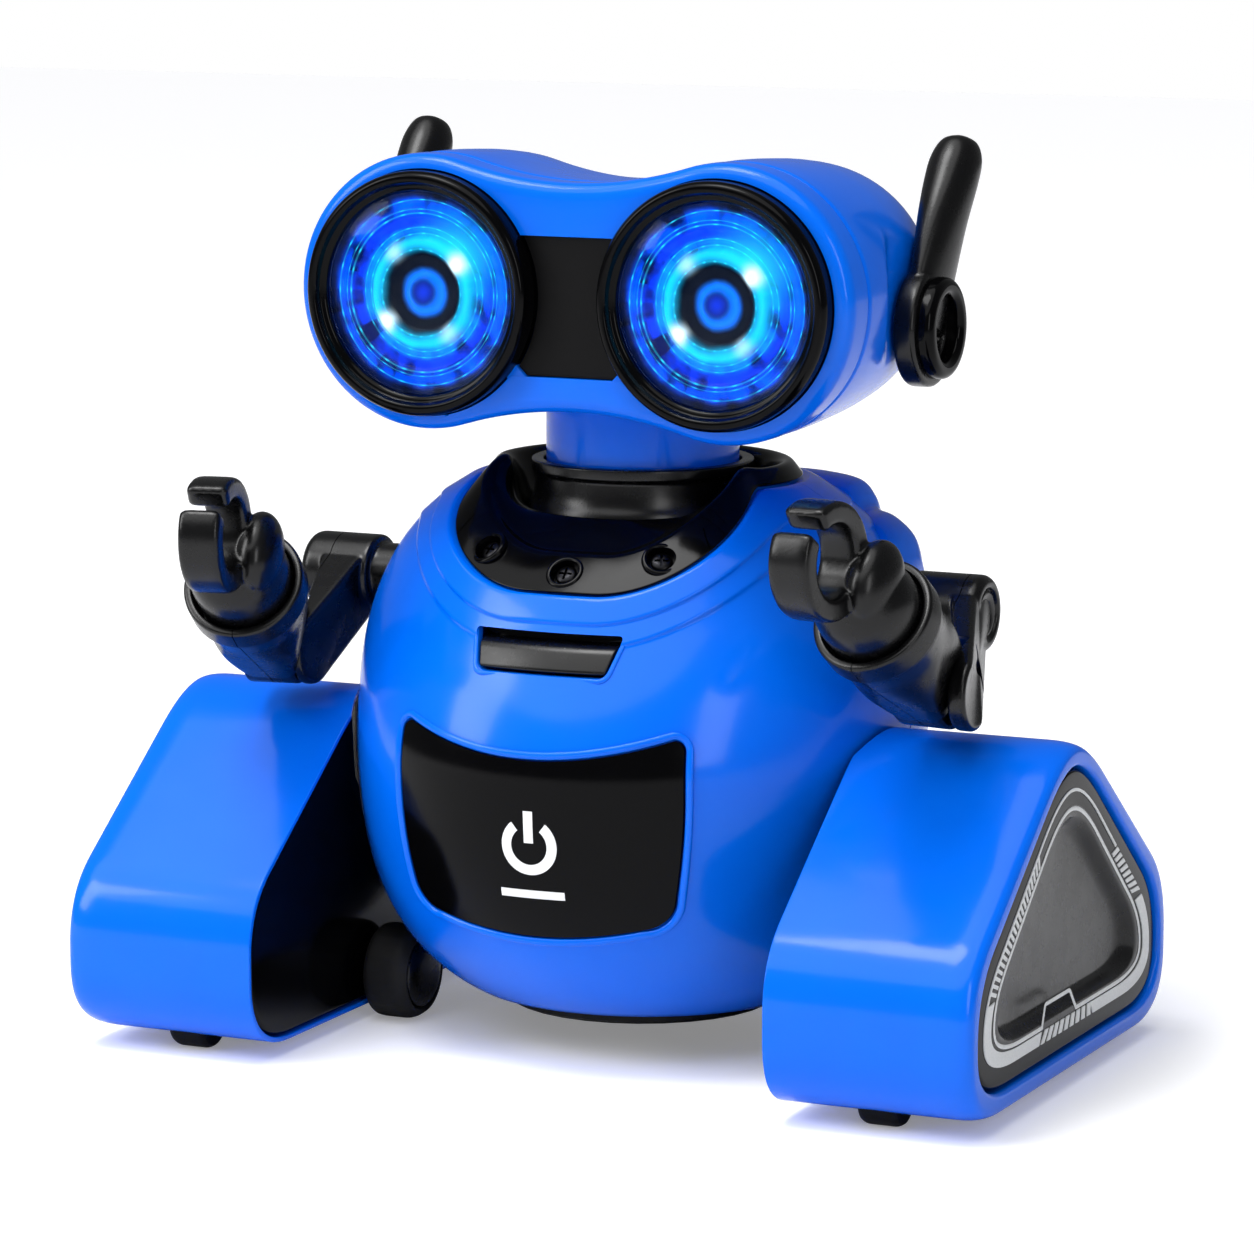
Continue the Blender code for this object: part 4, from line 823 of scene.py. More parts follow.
for side, sign in SIDES.items():
    centre = (sign * EYE_X, 0, EYE_Z)
    ring = new_object(f"eye_ring_{side}", turned(bezel_profile, (0, 1, 0), centre, 160, loop=True, up=UP))
    finish_piece(ring, black_gloss, "head", "gloss_black", f"eye_bezel_{side}")
    glass = turned(np.concatenate([lens_profile, lens_back]), (0, 1, 0), centre, 96, up=UP)
    finish_piece(new_object(f"eye_glass_{side}", glass), lens_clear, "head", "eye_lens", f"eye_lens_{side}")
    back = [(19.5, -31.5), (0, -31.5)]
    dish = new_object(f"eye_dish_{side}", turned(np.concatenate([dish_steps, back]), (0, 1, 0), centre, 144, up=UP))
    spots = np.empty(len(dish.data.vertices) * 3)
    dish.data.vertices.foreach_get("co", spots)
    spots = spots.reshape(-1, 3) / MM
    flat = np.stack([(spots[:, 0] - centre[0]), (spots[:, 2] - EYE_Z)], 1) / (2 * LENS_RADIUS) + 0.5
    corner = np.empty(len(dish.data.loops), int)
    dish.data.loops.foreach_get("vertex_index", corner)
    dish.data.uv_layers.new(name="dish").data.foreach_set("uv", flat[corner].astype(np.float32).ravel())
    finish_piece(dish, lit_blue, "head", "eye_light", f"eye_reflector_{side}")

# %% [markdown]
# ## Ears
# Each ear is a round hub with a leaning blade. The blade is a run of ovals whose sizes follow a smooth
# curve, and hub and blade are melted together as in the moulding.

# %% Ears
LEAN, BLADE = {"left": np.radians(28), "right": np.radians(22.5)}, {"left": 37.5, "right": 35.5}
for side, sign in SIDES.items():
    out = np.array([sign, 0, 0])
    pivot = np.array([sign * EAR_X, EAR_Y, EAR_Z])
    lean = np.array([0, np.sin(LEAN[side]), np.cos(LEAN[side])])
    across = np.array([0, np.cos(LEAN[side]), -np.sin(LEAN[side])])
    rows = through([(0, 8.4, 2.4, 0), (0.3, 7.7, 3.5, -0.6), (0.6, 6.6, 4.5, -0.8), (0.84, 5.8, 5.1, 0.2),
                    (0.97, 5.3, 4.9, 0.9), (1.06, 3.9, 3.6, 1.2), (1.095, 1.6, 1.4, 1.3)], 70)
    share, wide, thick, bow = rows.T[:, :, None]
    a = np.linspace(0, 2 * np.pi, 64, endpoint=False)[None, :, None]
    share, bow = share[..., None], bow[..., None]
    ring = pivot + (2.3 + 0.9 * share) * out + lean * BLADE[side] * share + across * bow
    ring = ring + thick[..., None] * np.cos(a) * out + wide[..., None] * np.sin(a) * across
    hub = rounded([(0, 0.1), (11.4, 0.1), (11.4, 4.6), (6.1, 4.6), (5.6, 2.6), (0, 2.6)], (0, 0.8, 1.0, 0.4, 0.4, 0), 7)
    axle = rounded([(0, -7), (4.6, -7), (4.6, -5.4), (3, -5.2), (3, 1), (0, 1)], (0, 0.3, 0.3, 0.3, 0, 0), 4)
    ear = melted(f"ear_{side}", [tube(ring), turned(hub, out, pivot, 120, up=UP), turned(axle, out, pivot, 64, up=UP)],
                 0.35, 4)
    finish_piece(ear, black_satin, f"antenna_{side}", "satin_black", f"antenna_{side}", crease=60)
    cap = rounded([(6.3, 4.3), (9.8, 4.3), (9.8, 6.8), (8.8, 7.7), (7.2, 7.7), (6.3, 6.9)],
                  (0.1, 0.2, 0.9, 0.6, 0.5, 0.5), 7, closed=True)
    ring = new_object(f"ear_cap_{side}", turned(cap, out, pivot, 120, loop=True, up=UP))
    finish_piece(ring, black_gloss, f"antenna_{side}", "gloss_black", f"antenna_cap_{side}")

# %% [markdown]
# ## Arms
# An upper arm is a shoulder barrel and a flat link that runs down to the elbow. The link's outline is two
# half circles joined by straight sides, and its rows go from one face to the other with rounded edges.

# %% Arm directions and the upper arms
ELBOW_Y, ELBOW_R = -23.0, 7.2
ELBOW_X, ELBOW_DROP = {"left": -63.5, "right": 75.6}, {"left": 12.4, "right": 11.2}
CHEEK = {"left": 3.0, "right": 4.3}
LINK_X = {"left": (-69.0, -58.6), "right": (66.0, 71.5)}
ARM_SEAM_X = {"left": -66.3, "right": 69.3}
PITCH = {"left": np.radians(37.0), "right": np.radians(38.0)}
TOE = {"left": np.radians(11.0), "right": np.radians(9.0)}


def arm_axes(side):
    """Elbow axis, the forearm's own direction and its rise, as unit vectors."""
    toe = -SIDES[side] * TOE[side]
    ahead = np.array([np.sin(toe), -np.cos(toe), 0])
    along = ahead * np.cos(PITCH[side]) + UP * np.sin(PITCH[side])
    rise = UP * np.cos(PITCH[side]) - ahead * np.sin(PITCH[side])
    return np.cross(rise, along), along, rise


def elbow_of(side):
    """The elbow's middle, ahead of the shoulder and below it."""
    return np.array([ELBOW_X[side], ELBOW_Y, SHOULDER_Z - ELBOW_DROP[side]])


def link(low_a, high_a, radius_a, low_b, high_b, radius_b, soft=0.9):
    """Rows from the low faces to the high ones; each is circle A on its side and circle B on the other."""
    k = np.concatenate([np.zeros(7), np.linspace(0, 1, 8)[1:-1], np.ones(7)])[:, None, None]
    q = np.linspace(0, np.pi / 2, 7)
    inset = np.concatenate([soft * (1 - np.sin(q)), np.zeros(6), soft * (1 - np.cos(q))])[:, None, None]
    lift = np.concatenate([soft * (1 - np.cos(q)), np.zeros(6), -soft * (1 - np.sin(q))])[:, None, None]
    run = (low_b + high_b) / 2 - (low_a + high_a) / 2
    across = (high_a - low_a) / np.linalg.norm(high_a - low_a)
    u = run - across * (run @ across)
    u = u / np.linalg.norm(u)
    v = np.cross(across, u)
    a = np.linspace(-np.pi / 2, 3 * np.pi / 2, 128, endpoint=False)[None, :, None]
    ahead = np.cos(a) > 0
    middle = np.where(ahead, low_b + k * (high_b - low_b), low_a + k * (high_a - low_a))
    radius = np.where(ahead, radius_b, radius_a) - inset
    return tube(middle + lift * across + radius * (np.cos(a) * u + np.sin(a) * v))


for side, sign in SIDES.items():
    out = np.array([sign, 0, 0])
    axis, _, _ = arm_axes(side)
    elbow, shoulder = elbow_of(side), np.array([0, 0, SHOULDER_Z])
    low_x, high_x = LINK_X[side]
    bar = link(shoulder + (low_x, 0, 0), shoulder + (high_x, 0, 0), 6.6,
               elbow + axis * 0.3, elbow + axis * CHEEK[side], ELBOW_R)
    barrel = rounded([(0, 47), (6, 47), (6, 57.8), (7.6, 57.8), (7.6, 71.8), (6.5, 73.0), (5.1, 73.0), (5.1, 69.8),
                      (0, 69.8)], (0, 0.4, 0.2, 0.6, 0.8, 0.5, 0.3, 0.3, 0), 6)
    whole = melted(f"arm_{side}", [bar, turned(barrel, out, shoulder, 128, up=UP)], 0.3, 14)
    carve(whole, rod(elbow - axis * 20, elbow + axis * 0.15, ELBOW_R + 3.5))
    for half, keep in (("outer", sign), ("inner", -sign)):
        seam = (ARM_SEAM_X[side] + keep * 0.1, 0, 0)
        piece = half_of(whole, f"arm_{half}_{side}", seam, (keep, 0, 0))
        finish_piece(piece, black_satin, f"upper_arm_{side}", "satin_black", f"upper_arm_{half}_{side}", crease=50)
    bpy.data.objects.remove(whole)
    cap = rounded([(2.4, 69.9), (4.8, 69.9), (4.8, 72.2), (4.1, 72.6), (2.9, 72.3), (2.4, 71.2)], 0.3, 5, closed=True)
    ring = new_object(f"shoulder_ring_{side}", turned(cap, out, shoulder, 96, loop=True, up=UP))
    finish_piece(ring, black_satin, f"upper_arm_{side}", "satin_black", f"shoulder_cap_{side}")

# %% [markdown]
# A forearm starts boxy at a round knuckle and ends as a round cup. Each ring is a superellipse,
# |x|^p + |y|^p = 1, whose power p falls from 7 to 2 on the way. The wall turns over at the rim and runs down
# inside to the cup's floor.

# %% Forearms
FOREARM_LENGTH = {"left": 27.0, "right": 28.2}
CUP_R, WELL_R, STEM_R = 12.0, 10.3, 9.8


def forearm_shape(side):
    """The sleeve's tube of superellipses, its knuckle, its middle and its elbow axis."""
    axis, along, rise = arm_axes(side)
    middle = elbow_of(side) - axis * 5.65
    reach = FOREARM_LENGTH[side]
    s = np.linspace(-1, reach - 5.5, 44)
    share = np.clip(s / (reach - 5.5), 0, 1)
    tall = ELBOW_R - 0.02 + (CUP_R - 0.33 - ELBOW_R) * share
    wide = 5.33 + (CUP_R - 0.35 - 5.33) * share
    power = 7 - 5 * smooth(share, 0.0, 0.85)
    lip = rounded([(reach - 5.3, CUP_R - 0.35), (reach - 5.0, CUP_R), (reach, CUP_R), (reach, WELL_R),
                   (reach - 8, WELL_R), (reach - 8, 0.2)], (0, 0.3, 0.9, 0.5, 0.4, 0), 6)
    s = np.concatenate([s, lip[:, 0]])[:, None]
    tall = np.concatenate([tall, lip[:, 1]])[:, None]
    wide = np.concatenate([wide, lip[:, 1]])[:, None]
    power = np.concatenate([power, np.full(len(lip), 2.0)])[:, None]
    a = np.linspace(0, 2 * np.pi, 144, endpoint=False)[None, :]
    c, d = np.cos(a), np.sin(a)
    size = (np.abs(c) ** power + np.abs(d) ** power) ** (-1 / power)
    points = middle + s[..., None] * along + (wide * c * size)[..., None] * axis + (tall * d * size)[..., None] * rise
    knuckle = rounded([(0, -5.35), (ELBOW_R, -5.35), (ELBOW_R, 5.35), (0, 5.35)], (0, 0.8, 0.8, 0), 6)
    return tube(points), turned(knuckle, axis, middle, 128, up=rise), middle, axis


for side, sign in SIDES.items():
    shape, knuckle, middle, axis = forearm_shape(side)
    whole = carve(new_object(f"forearm_{side}", shape), knuckle, operation="UNION")
    for half, keep in (("outer", sign), ("inner", -sign)):
        piece = half_of(whole, f"lower_arm_{half}_{side}", middle + axis * keep * 0.1, axis * keep)
        finish_piece(piece, black_satin, f"forearm_{side}", "satin_black", f"forearm_{half}_{side}", crease=45)
    bpy.data.objects.remove(whole)

# %% [markdown]
# A hand is a C-shaped claw, a rounded thumb lobe and a stem that turns in the cup. The claw is a rounded
# rectangle carried round an arc, and it closes down at both fingertips. All three are melted together.

# %% Hands
CLAW_X = {"left": (-4.4, 3.8), "right": (-6.2, 2.4)}


def hand_shapes(side):
    """Claw, stem and lobe: a box ring carried round an arc, a turned stem and an ellipsoid."""
    axis, along, rise = arm_axes(side)
    cup = elbow_of(side) - axis * 5.5 + along * FOREARM_LENGTH[side]
    centre = cup + along * 19.6 - rise * 0.5
    t = np.linspace(0, 1, 90)[:, None]
    a = np.radians(20) + (2 * np.pi - 0.04 - np.radians(20)) * t
    tip = np.minimum(t, 1 - t) * 56.0
    close = np.sqrt(np.clip(1 - (1 - np.clip(tip / 1.1, 0, 1)) ** 2, 0, 1)) * 0.28 + 0.72
    b = np.linspace(0, 2 * np.pi, 56, endpoint=False)[None, :]
    c, d = np.cos(b), np.sin(b)
    radial = 8.95 + 2.25 * close * np.sign(c) * np.abs(c) ** 0.34
    half = (CLAW_X[side][1] - CLAW_X[side][0]) / 2
    sideways = sum(CLAW_X[side]) / 2 + half * (0.25 + 0.75 * close) * np.sign(d) * np.abs(d) ** 0.34
    claw = centre + (radial * np.cos(a))[..., None] * along + (radial * np.sin(a))[..., None] * rise
    claw = claw + sideways[..., None] * axis
    stem = rounded([(0, -7.5), (STEM_R, -7.5), (STEM_R, 4.2), (8.9, 7.2), (6.2, 10.2), (0, 10.8)],
                   (0, 0.6, 2.0, 1.8, 2.0, 0), 8)
    lobe_centre = cup + axis * (CLAW_X[side][1] + 1.2) + along * 8.0 + rise * 2.2
    p = np.linspace(-np.pi / 2, np.pi / 2, 40)[:, None, None]
    e = np.linspace(0, 2 * np.pi, 64, endpoint=False)[None, :, None]
    lobe = lobe_centre + 4.6 * np.sin(p) * axis + np.cos(p) * (6.6 * np.cos(e) * along + 8.4 * np.sin(e) * rise)
    return [tube(claw), turned(stem, along, cup, 128, up=axis), tube(lobe)]


for side in SIDES:
    claw = melted(f"claw_{side}", hand_shapes(side), 0.36, 3)
    finish_piece(claw, black_satin, f"hand_{side}", "satin_black", f"hand_{side}", crease=55)

# %% [markdown]
# ## Side pods
# A pod's side view is a wide triangle with upright ends and rounded corners. Rings of that outline, moved in
# and along X, make the blue shell, the black panel and the inner cover.

# %% Pod outline and shells
POD_MID_Y, POD_HALF, POD_APEX_Z, POD_FLOOR_Z, POD_SHOULDER_Z = -10.2, 54.4, 66.8, 2.8, 32.0
POD_MIDDLE_Z, INSET_LIMIT = 30.0, 10.6
ROLLER_X, ROLLER_R, ROLLER_Y = 73.0, 5.0, {"front": -51.0, "rear": 30.6}
WHEEL_Y, WHEEL_R = -11.6, 9.5


def pod_ring(inset, x, steps=16):
    """The outline moved in by an inset up to a limit; beyond that it shrinks towards the pod's middle."""
    near = min(inset, INSET_LIMIT)
    half, low, top = POD_HALF - near, POD_FLOOR_Z + near, POD_APEX_Z - near
    end_z = POD_SHOULDER_Z - 0.66 * near
    corners = [(half, low), (half, end_z), (6.5, top), (-6.5, top), (-half, end_z), (-half, low)]
    flat = rounded(corners, (16, 10, 12, 12, 10, 16), steps, closed=True)
    middle = np.array([0, POD_MIDDLE_Z])
    flat = middle + (flat - middle) * (1 - max(inset - INSET_LIMIT, 0) / POD_MIDDLE_Z)
    return np.stack([np.full(len(flat), x), POD_MID_Y + flat[:, 0], flat[:, 1]], 1)


def pod_stack(profile, sign):
    """Rings of the outline for (inset, x) pairs, mirrored by the sign."""
    return np.stack([pod_ring(inset, sign * x) for inset, x in profile])


shell_profile = [(0, 53.7), (0, 94.8), (4.6, 94.8), (4.9, 88.6), (2.2, 88.6), (2.2, 60), (0.9, 57), (0.9, 53.7)]
shell_profile = rounded(shell_profile, (0.4, 6.5, 1.0, 0.3, 0.3, 0.8, 0.8, 0.3), 9, closed=True)
panel_profile = rounded([(5.2, 87.0), (5.2, 93.9), (12.4, 93.9), (12.4, 87.0)], (0.2, 1.0, 0.1, 0.2), 7, closed=True)
dish_profile = rounded([(12.0, 87.0), (12.0, 93.92), (14.6, 93.92), (15.4, 93.3), (17.6, 91.2), (24.0, 90.8)],
                       (0.1, 0.4, 0.8, 0.8, 1.4, 0), 7)
cover_profile = rounded([(9, 54.1), (1.15, 54.1), (1.15, 56.6), (2.5, 59), (9, 59)], (0, 1.2, 0.5, 0.3, 0), 8)
for side, sign in SIDES.items():
    shell = new_object(f"pod_{side}", tube(pod_stack(shell_profile, sign), loop=True))
    z = np.linspace(20, 82, 32)
    room = np.concatenate([[(0, 20)], np.stack([body_half_width(z) + 1.0, z], 1), [(0, 82)]])
    ovals = [rod((sign * ROLLER_X, y, -2), (sign * ROLLER_X, y, 12), 6.2) for y in ROLLER_Y.values()]
    carve(shell, turned(room, sides=128), *ovals)
    finish_piece(shell, blue_gloss, "body", "blue_plastic", f"pod_shell_{side}")
    panel = new_object(f"pod_face_{side}", tube(pod_stack(panel_profile, sign), loop=True))
    finish_piece(panel, black_gloss, "body", "gloss_black", f"pod_panel_{side}", crease=60)
    dish = new_object(f"pod_dish_{side}", tube(pod_stack(dish_profile, sign)))
    finish_piece(dish, charcoal, "body", "gloss_black", crease=60)
    cover = new_object(f"pod_cover_{side}", tube(pod_stack(cover_profile, sign)))
    carve(cover, turned(room, sides=128), rod((sign * 50, 0, STRUT_Z), (sign * 70, 0, STRUT_Z), 3.7),
          rod((sign * 50, WHEEL_Y, WHEEL_R), (sign * 70, WHEEL_Y, WHEEL_R), 1.8))
    finish_piece(cover, black_gloss, "body", "dark_frame", f"pod_inner_cover_{side}")
    boss = rounded([(1.8, 53.6), (4.2, 53.6), (4.2, 58.7), (1.8, 58.7)], 0.4, 5, closed=True)
    ring = turned(boss, (sign, 0, 0), (0, WHEEL_Y, WHEEL_R), 64, loop=True, up=UP)
    finish_piece(new_object(f"axle_boss_{side}", ring), black_gloss, "body", "dark_frame")
    a = np.linspace(0, 2 * np.pi, 48, endpoint=False)
    oval = np.stack([0 * a, 0.9 * np.sign(np.cos(a)) * np.abs(np.cos(a)) ** 0.6,
                     16 * np.sign(np.sin(a)) * np.abs(np.sin(a)) ** 0.3], 1)
    rib = [oval * (1, s, s) + (sign * x, -16.1, 28) for x, s in ((55.0, 0.86), (55.3, 0.97), (58.8, 1.05))]
    finish_piece(new_object(f"cover_rib_{side}", tube(rib)), black_gloss, "body", "dark_frame")

# %% [markdown]
# The panel's print is silver-white hatching: a thin line round the dish, and a broad band that breaks into
# slanted bars. Each stripe is a small patch between two outlines, a quarter of a millimetre thick.

# %% Pod print
FILM = 0.24


def outline_at(inset, t, x):
    """Points of the outline at shares t of its length, starting under the rear corner."""
    ring = pod_ring(inset, x)
    ring = np.concatenate([ring, ring[:1]])
    length = np.concatenate([[0], np.cumsum(np.linalg.norm(np.diff(ring, axis=0), axis=1))])
    at = np.mod(t, 1.0) * length[-1]
    return np.stack([np.interp(at, length, ring[:, k]) for k in range(3)], -1)


def share_near(y, z):
    """The share of the outline's length at the point nearest (y, z)."""
    t = np.linspace(0, 1, 800, endpoint=False)
    ring = outline_at(INSET_LIMIT, t, 0.0)
    return t[np.argmin((ring[:, 1] - y) ** 2 + (ring[:, 2] - z) ** 2)]


def stripe(t0, t1, inset0, inset1, x, sign, slant=0.0, count=24):
    """A film between two outlines from share t0 to t1, the inner one shifted by a slant."""
    t = np.linspace(t0, t1, count)
    rows = [outline_at(inset, t + slant * k, x) for k, inset in ((0, inset0), (1, inset1))]
    grid = np.stack(rows)
    lift = np.array([sign * FILM / 2, 0, 0])
    return plate(grid + lift, grid - lift)


def hatch(t0, t1, inset0, inset1, x, sign, bars, fill=0.6, slant=0.006):
    """Equal slanted bars between two shares; each fills part of its step."""
    starts = np.linspace(t0, t1, bars, endpoint=False)
    step = (t1 - t0) / bars
    return [stripe(s, s + step * fill, inset0, inset1, x, sign, slant, 4) for s in starts]


PRINT_X = 93.98
for side, sign in SIDES.items():
    x = sign * PRINT_X
    rear_mid, rear_top = share_near(40, 26), share_near(17, 45)
    front_top, front_mid = share_near(-28, 52), share_near(-57, 28)
    ticks_a, ticks_b = share_near(-26, 12), share_near(2, 12)
    band, edge = (8.9, 11.9), (8.9, 9.5)
    shapes = [stripe(front_mid, ticks_a, *band, x, sign, count=60),
              stripe(ticks_b - 1, rear_mid, *band, x, sign, count=70),
              *hatch(ticks_a + 0.004, ticks_b, *band, x, sign, 9),
              stripe(rear_mid, rear_mid + 0.035, *band, x, sign),
              *hatch(rear_mid + 0.042, rear_top, *band, x, sign, 8),
              stripe(rear_top, front_top, *edge, x, sign, count=60),
              stripe(front_top, front_mid, *edge, x, sign, count=60),
              *hatch(front_top + 0.01, front_mid - 0.006, 9.5, 12.0, x, sign, 20, fill=0.5)]
    round_dish = outline_at(13.1, np.linspace(ticks_b + 0.01, ticks_a + 1, 260), x)
    low_z = round_dish[0, 2]
    notch = np.array([(-25.0, low_z), (-23.4, low_z + 4.2), (-10.0, low_z + 4.2), (-6.4, low_z)])
    notch = rounded(notch, 0.6, 4)
    path = np.concatenate([round_dish, np.stack([np.full(len(notch), x), notch[:, 0], notch[:, 1]], 1)])
    shapes.append(bead(path, np.array([sign, 0, 0]), 0.42, 0.12, 8))
    print_piece = new_object(f"pod_print_{side}", joined(*shapes))
    finish_piece(print_piece, silver_ink, "body", "screw_steel")

# %% [markdown]
# ## Wheels and rollers
# A drive wheel has a round-shouldered rubber tyre on a domed plastic hub. A very shallow tread ripples the
# tyre's radius: r (1 - 0.004 s), where s is a smoothed square wave of 24 teeth.

# %% Wheels and rollers
tyre_profile = rounded([(7.2, 43.6), (7.9, 42.6), (9.5, 44.8), (9.5, 51.4), (8.7, 52.4), (7.2, 52.4)],
                       (0.2, 0.6, 1.6, 1.2, 0.5, 0.4), 8, closed=True)
hub_profile = rounded([(0, 66), (1.5, 66), (1.5, 52.4), (7.1, 52.4), (7.1, 43.0), (5.4, 42.0), (0, 41.7)],
                      (0, 0.2, 0.2, 0.2, 0.5, 1.5, 0), 6)
roller_profile = rounded([(0, -4), (4.4, -4), (5, -3), (5, 3), (4.4, 4), (0, 4)], (0, 0.3, 0.6, 0.6, 0.3, 0), 6)
for side, sign in SIDES.items():
    out, axle = np.array([sign, 0, 0]), np.array([0, WHEEL_Y, WHEEL_R])
    points, faces = turned(tyre_profile, out, axle, 240, loop=True, up=UP)
    rings = points.reshape(len(tyre_profile), 240, 3)
    a = np.linspace(0, 2 * np.pi, 240, endpoint=False)
    tread = 0.5 + 0.5 * np.tanh(4 * np.sin(24 * a))
    depth = smooth(tyre_profile[:, 0], 9.0, 9.5)[:, None] * 0.004 * tread[None, :]
    flat = rings[..., 1:] - axle[1:]
    rings = np.concatenate([rings[..., :1], axle[1:] + flat * (1 - depth)[..., None]], -1)
    finish_piece(new_object(f"wheel_tyre_{side}", (rings.reshape(-1, 3), faces)), rubber, f"wheel_{side}",
                 "tyre_rubber", f"drive_tyre_{side}")
    hub = new_object(f"wheel_hub_{side}", turned(hub_profile, out, axle, 96, up=UP))
    finish_piece(hub, black_satin, f"wheel_{side}", "satin_black", f"drive_hub_{side}")
    for end, y in ROLLER_Y.items():
        roll = new_object(f"ground_roller_{end}_{side}", turned(roller_profile, out, (sign * ROLLER_X, y, ROLLER_R), 96,
                                                                up=UP))
        finish_piece(roll, dark_matte, f"{end}_roller_{side}", "satin_black", f"{end}_roller_{side}")

# %% [markdown]
# ## Switch, insides and underside
# The slide switch gets three finger ribs. The chassis, battery, boards and gear boxes keep their CAD meshes,
# since they sit inside, and get their own finishes.

# %% Switch and the carried-over nodes
low, high = (np.array(corner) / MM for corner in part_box("power_switch"))
mid, half = (low + high) / 2 - (0, NECK_Y, 0), (high - low) / 2
t = np.linspace(0, 1, 60)
outline = rounded([(-half[0], half[2]), (half[0], half[2]), (half[0], -half[2]), (-half[0], -half[2])], 0.5, 16,
                  closed=True)
y_rows = mid[1] + half[1] * np.array([-1.0, 0.55, 0.85, 1.0])
rings = np.stack([np.stack([mid[0] + outline[:, 0] * s, np.full(len(outline), y), mid[2] + outline[:, 1] * s], 1)
                  for y, s in zip(y_rows, (1, 1, 0.96, 0.86))])
ribs = [bead(np.stack([np.full(24, mid[0] + dx), np.full(24, y_rows[-1] - 0.1),
                       mid[2] + 1.3 * np.cos(np.linspace(0, 2 * np.pi, 24, endpoint=False))], 1)
             + np.stack([0.12 * np.sin(np.linspace(0, 2 * np.pi, 24, endpoint=False)), np.zeros(24), np.zeros(24)], 1),
             np.array([0, 1.0, 0]), 0.16, 0.3) for dx in (-1.0, 0.0, 1.0)]
finish_piece(new_object("switch_knob", joined(tube(rings), *ribs)), black_satin, "switch", "satin_black",
             "power_switch")
KEPT = {"chassis": dark_matte, "battery_door": dark_matte, "battery_pack": wrap, "main_board": board_green,
        "neck_motor": dark_matte, "speaker": dark_matte, "eye_board_left": board_green, "eye_board_right": board_green,
        "drive_gearbox_left": dark_matte, "drive_gearbox_right": dark_matte}
for name, material in KEPT.items():
    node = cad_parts[name]
    for slot in node.material_slots:
        slot.material = material
print(f"{len(KEPT)} CAD nodes kept")

# %% [markdown]
# ## Floor and light
# The toy stands on pale paper in a bright room. A very wide sun fills like an overcast sky, and three soft
# boxes give the highlights.

# %% Floor and light
floor_mat, tree, shader = new_material("matte_pale_paper")
tooth = add(tree, "ShaderNodeTexNoise", {"Vector": add(tree, "ShaderNodeTexCoord", out=3), "Scale": 1 / (3 * MM)})
tint = {0: tooth, 6: linear("#FBFBFC"), 7: linear("#F6F6F8")}
paper = add(tree, "ShaderNodeMix", tint, out=2, data_type="RGBA")
tree.links.new(paper, shader.inputs["Base Color"])
tree.links.new(paper, shader.inputs["Emission Color"])
seen = add(tree, "ShaderNodeMath", {0: add(tree, "ShaderNodeLightPath"), 1: 0.25}, operation="MULTIPLY")
tree.links.new(seen, shader.inputs["Emission Strength"])
shader.inputs["Roughness"].default_value = 0.9
shader.inputs["Specular IOR Level"].default_value = 0.1
u, v = np.meshgrid(np.linspace(-3000, 3000, 24), np.linspace(-3000, 3000, 24))
floor = new_object("floor", plate(np.stack([u, v, 0 * u - 0.02], -1), np.stack([u, v, 0 * u - 4.0], -1)))
floor.data.materials.append(floor_mat)

world = bpy.data.worlds.new("bright_room")
bpy.context.scene.world = world
world.use_nodes = True
tree = world.node_tree
seen = add(tree, "ShaderNodeLightPath")
room = tree.nodes["Background"]
room.inputs["Color"].default_value = linear("#F4F6F8")
room.inputs["Strength"].default_value = 0.2
bright = add(tree, "ShaderNodeBackground", {"Color": (1, 1, 1, 1), "Strength": 1.0})
pick = add(tree, "ShaderNodeMixShader", {0: seen, 1: room.outputs[0], 2: bright})
tree.links.new(pick, tree.nodes["World Output"].inputs["Surface"])


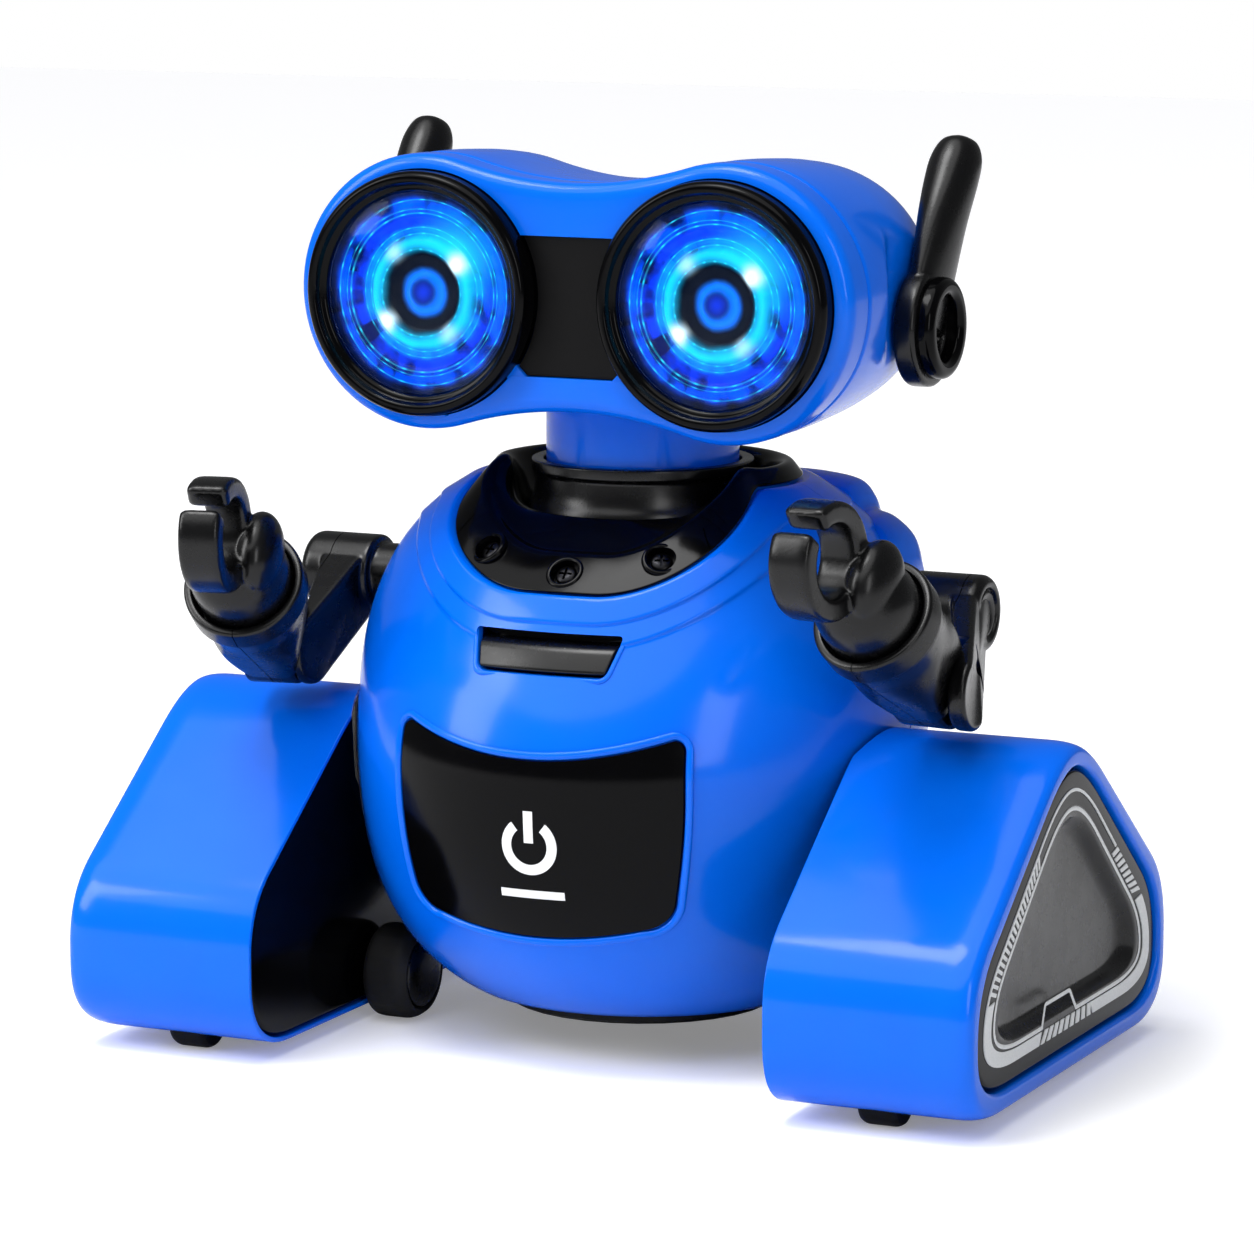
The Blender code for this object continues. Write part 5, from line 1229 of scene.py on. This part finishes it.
def soft_box(name, place, aim, size, watts):
    """A rectangular lamp, its -Z turned to the aim."""
    light = bpy.data.lights.new(name, "AREA")
    light.shape, light.size, light.size_y, light.energy = "RECTANGLE", size[0], size[1], watts
    obj = bpy.data.objects.new(name, light)
    bpy.context.collection.objects.link(obj)
    w = np.asarray(place, float) - aim
    u, v, w = axes(w)
    obj.matrix_world = Matrix([[u[k], v[k], w[k], place[k]] for k in range(3)] + [[0, 0, 0, 1]])


TOY = np.array([0, 0, 0.09])
soft_box("top_box", (-0.25, -0.35, 1.2), TOY, (0.45, 0.45), 7)
soft_box("key_box", (-0.95, -0.75, 0.7), TOY, (0.4, 0.7), 7)
soft_box("fill_box", (0.9, -0.9, 0.5), TOY, (0.3, 0.7), 3)
sky = bpy.data.lights.new("sky", "SUN")
sky.energy, sky.angle = 2.1, np.radians(70)
sky_obj = bpy.data.objects.new("sky", sky)
sky_obj.rotation_euler = (np.radians(22), np.radians(-10), 0)
bpy.context.collection.objects.link(sky_obj)
print("floor, room, three soft boxes and a wide sun")

# %% [markdown]
# ## Camera
# The camera stands a metre away, a little above the toy and to one side, with a long lens. It is placed by three
# unit vectors: to the right, ahead and up.

# %% Camera
TURN, TILT, DISTANCE = np.radians(24.82), np.radians(9.19), 1045.0
SHIFT_SIDE, SHIFT_UP = -3.124, 80.0
right = np.array([np.cos(TURN), np.sin(TURN), 0])
look = np.array([-np.sin(TURN) * np.cos(TILT), np.cos(TURN) * np.cos(TILT), -np.sin(TILT)])
above = np.cross(right, look)
place = (right * SHIFT_SIDE + above * SHIFT_UP - look * DISTANCE + (0, NECK_Y, 0)) * MM
lens = bpy.data.cameras.new("camera")
lens.lens, lens.sensor_width = 150.0, 36.0
lens.clip_start, lens.clip_end = 0.05, 20.0
camera = bpy.data.objects.new("camera", lens)
bpy.context.collection.objects.link(camera)
print(f"camera {DISTANCE:.0f} mm away, turned {np.degrees(TURN):.1f} degrees")
camera.matrix_world = Matrix([[right[k], above[k], -look[k], place[k]] for k in range(3)] + [[0, 0, 0, 1]])
bpy.context.scene.camera = camera
bpy.context.scene.view_settings.view_transform = "Standard"
